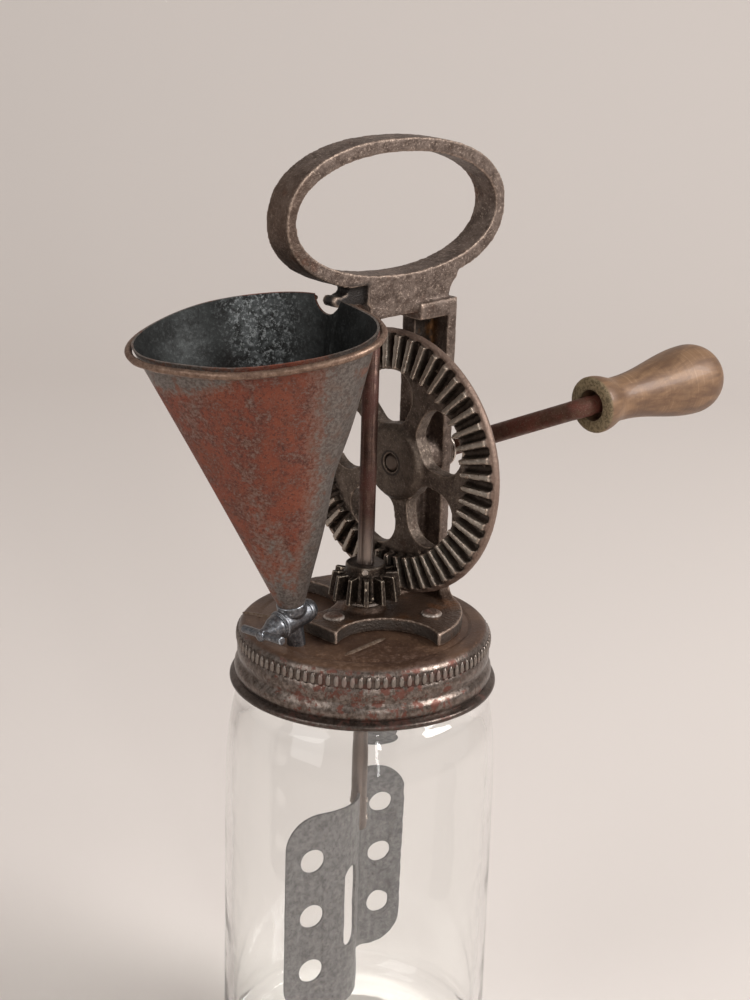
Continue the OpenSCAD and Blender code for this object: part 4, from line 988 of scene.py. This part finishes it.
grip = lathe("grip_wood_turned", shape, finishes["grip"], closed=True, turns=96, place=grip_place)
stand_for(grip, "grip", "grip", "crank_grip")
print("grip", len(grip.data.polygons), "faces")

# %% [markdown]
# ## The funnel
# A sheet is rolled to a cone, its rim is bent out of round by use, and a wire is
# rolled into the rim. The rim's shape is a list of radii, one every 15 degrees,
# with a smooth curve between. Both skins are built from one grid, so that the
# wall has a thickness and the inside can have its own finish.

# %% The bent rim
RIM = [34.5, 35.0, 34.9, 34.6, 35.0, 35.7, 36.0, 36.6, 37.7, 38.2, 36.6, 33.4,
       30.5, 29.3, 29.4, 29.9, 30.9, 33.0, 36.4, 39.7, 40.7, 38.8, 35.8, 34.2]
WIRE = 1.3
SHEET = 0.7
NOTCH = {"half": 6.8, "y": 0.8, "deep": 4.6 + WIRE}
NOTCH["r"] = (NOTCH["half"] ** 2 + NOTCH["deep"] ** 2) / (2 * NOTCH["deep"])
cone_place = Matrix.Translation(CONE_FOOT) @ Matrix.Rotation(-LEAN, 4, "Y")


def rim_radius(angle):
    """Catmull-Rom through the radii of the rim."""
    u = degrees(angle) % 360 / 15
    i = int(u)
    t = u - i
    a, b, c, d = (RIM[(i + k) % 24] for k in (-1, 0, 1, 2))
    return b + t * ((c - a) + t * ((2 * a - 5 * b + 4 * c - d) + t * (3 * b - 3 * c + d - a))) / 2


def top_edge(angle):
    """Height of the sheet's edge: level, but cut by the notch near the shaft."""
    level = RIM_UP / MM + 0.6
    side = rim_radius(angle) * sin(angle) - NOTCH["y"]
    if cos(angle) < 0 or abs(side) >= NOTCH["r"] * 0.999:
        return level
    return min(level, RIM_UP / MM + WIRE - NOTCH["deep"] + NOTCH["r"] - (NOTCH["r"] ** 2 - side ** 2) ** 0.5)


def dent(angle, share):
    """Small inward dents and waves, deepest between foot and rim."""
    wave = 0.35 * (1 + sin(3 * angle + 1)) * share * (1 - share) * 2
    for at, high, wide, deep in ((4.1, 0.27, 0.22, 1.1), (3.0, 0.62, 0.3, 0.7), (5.2, 0.5, 0.25, 0.8),
                                 (0.9, 0.6, 0.35, 0.8), (1.9, 0.4, 0.3, 0.7), (5.5, 0.5, 0.4, 1.0)):
        around = (angle - at + pi) % (2 * pi) - pi
        wave += deep * np.exp(-(around / wide) ** 2 - ((share - high) / 0.13) ** 2)
    return float(wave)


# %% Roll the funnel's sheet
ROUND = 288
UP = 54
SEAM = radians(-7)
bm = bmesh.new()
skins = []
for inset in (0.0, SHEET):
    grid = []
    for row in range(UP + 1):
        ring = []
        for k in range(ROUND):
            angle = 2 * pi * k / ROUND
            low, top = CONE_LOW / MM, top_edge(angle)
            height = low + (top - low) * row / UP
            share = (height - low) / (RIM_UP / MM - low)
            radius = 3.9 + (rim_radius(angle) - WIRE - 3.9) * share - dent(angle, share) - inset
            from_seam = (angle - SEAM + pi) % (2 * pi) - pi
            if inset and 0 < from_seam < radians(6):
                radius -= 0.35 * min(1, from_seam / radians(0.8))
            spot = Vector((radius * cos(angle), radius * sin(angle), height)) * MM
            ring.append(bm.verts.new(cone_place @ spot))
        grid.append(ring)
    skins.append(grid)
for skin, grid in enumerate(skins):
    for low, high in zip(grid, grid[1:]):
        for k in range(ROUND):
            n = (k + 1) % ROUND
            corners = (low[k], low[n], high[n], high[k]) if skin == 0 else (low[k], high[k], high[n], low[n])
            bm.faces.new(corners).material_index = skin
for row in (0, UP):
    for k in range(ROUND):
        n = (k + 1) % ROUND
        out_k, out_n, in_k, in_n = skins[0][row][k], skins[0][row][n], skins[1][row][k], skins[1][row][n]
        bm.faces.new((out_k, in_k, in_n, out_n) if row == 0 else (out_k, out_n, in_n, in_k))
bm.normal_update()
mesh = bpy.data.meshes.new("funnel_sheet")
bm.to_mesh(mesh)
bm.free()
mesh.polygons.foreach_set("use_smooth", [True] * len(mesh.polygons))
mesh.set_sharp_from_angle(angle=radians(50))
funnel = new_object("funnel_sheet", mesh, finishes["funnel_tin"], finishes["funnel_inside"])
stand_for(funnel, "head", "funnel_tin", "funnel_cone")
print("funnel", len(mesh.polygons), "faces")

# %% Roll the wire into the rim
first = asin((NOTCH["half"] + 0.2 + NOTCH["y"]) / rim_radius(0))
last = 2 * pi - asin((NOTCH["half"] + 0.2 - NOTCH["y"]) / rim_radius(0))
STEPS = 260
WIRE_DROP = 0.8
AROUND = 16
bm = bmesh.new()
rings = []
for step in range(STEPS + 1):
    angle = first + (last - first) * step / STEPS
    ends = min(1.0, (0.25 + min(step, STEPS - step) / 3)) ** 0.5
    thick = (WIRE - 0.1) * ends * (1 - 0.05 * (1 + sin(angle * 23)) * (0.5 + 0.5 * sin(angle * 5)))
    ring = []
    for j in range(AROUND):
        turn = 2 * pi * j / AROUND
        radius = rim_radius(angle) + 0.05 + thick * cos(turn)
        ring.append(bm.verts.new(cone_place @ (Vector((radius * cos(angle), radius * sin(angle),
                                 RIM_UP / MM - WIRE * 0.4 - WIRE_DROP + thick * sin(turn))) * MM)))
    rings.append(ring)
for low, high in zip(rings, rings[1:]):
    for j in range(AROUND):
        n = (j + 1) % AROUND
        bm.faces.new((low[j], low[n], high[n], high[j]))
bm.faces.new(rings[0])
bm.faces.new(rings[-1])
bmesh.ops.recalc_face_normals(bm, faces=bm.faces)
mesh = bpy.data.meshes.new("funnel_wire")
bm.to_mesh(mesh)
bm.free()
mesh.polygons.foreach_set("use_smooth", [True] * len(mesh.polygons))
wire = new_object("funnel_wire", mesh, finishes["rim_bronze"])
stand_for(wire, "head", "funnel_tin", "funnel_rim")
print("rim wire", len(mesh.polygons), "faces")

# %% [markdown]
# ## The room
# A pale floor that rises behind the mixer in a soft curve. One large soft lamp
# stands at the right, a weaker one at the left, and a tall narrow one makes the
# bright streak that a window leaves on glass and bare metal.

# %% Floor, world and lamps
FLOOR_COLOUR = rgb(216, 207, 201)


def sweep_floor():
    mesh = bpy.data.meshes.new("floor")
    bm = bmesh.new()
    run = [(-3.0, 0.0), (0.9, 0.0)]
    run += [(0.9 + 0.8 * sin(t), 0.8 - 0.8 * cos(t)) for t in np.linspace(0.1, pi / 2, 14)]
    run += [(1.7, 3.5)]
    rows = []
    for along, height in run:
        spot = -back.to_2d().normalized() * along
        side = Vector((level_right.x, level_right.y)) * 4.0
        rows.append([bm.verts.new((spot.x + s * side.x, spot.y + s * side.y, height)) for s in (-1, 1)])
    for low, high in zip(rows, rows[1:]):
        bm.faces.new((low[0], low[1], high[1], high[0]))
    bm.normal_update()
    bm.to_mesh(mesh)
    mesh.polygons.foreach_set("use_smooth", [True] * len(mesh.polygons))
    floor = bpy.data.objects.new("floor", mesh)
    bpy.context.scene.collection.objects.link(floor)
    f = Finish("floor")
    mesh.materials.append(f.finish(Base_Color=FLOOR_COLOUR, Roughness=0.9))


sweep_floor()


def lamp(name, place, width, height, power, aim=(0, 0, 0.2)):
    data = bpy.data.lights.new(name, "AREA")
    data.shape = "RECTANGLE"
    data.size = width
    data.size_y = height
    data.energy = power
    obj = bpy.data.objects.new(name, data)
    obj.location = place
    obj.rotation_euler = (Vector(aim) - Vector(place)).to_track_quat("-Z", "Y").to_euler()
    bpy.context.scene.collection.objects.link(obj)


lamp("key_right", (0.75, -1.25, 1.15), 0.8, 0.8, 31)
lamp("window_left", (-1.25, 0.1, 0.9), 0.8, 1.2, 7)
lamp("streak", (-0.75, -1.35, 0.62), 0.08, 0.7, 4)
world = bpy.data.worlds.new("room")
bpy.context.scene.world = world
world.use_nodes = True
world.node_tree.nodes["Background"].inputs["Color"].default_value = (1.0, 0.98, 0.96, 1)
world.node_tree.nodes["Background"].inputs["Strength"].default_value = 0.42
bpy.context.scene.view_settings.view_transform = "Standard"
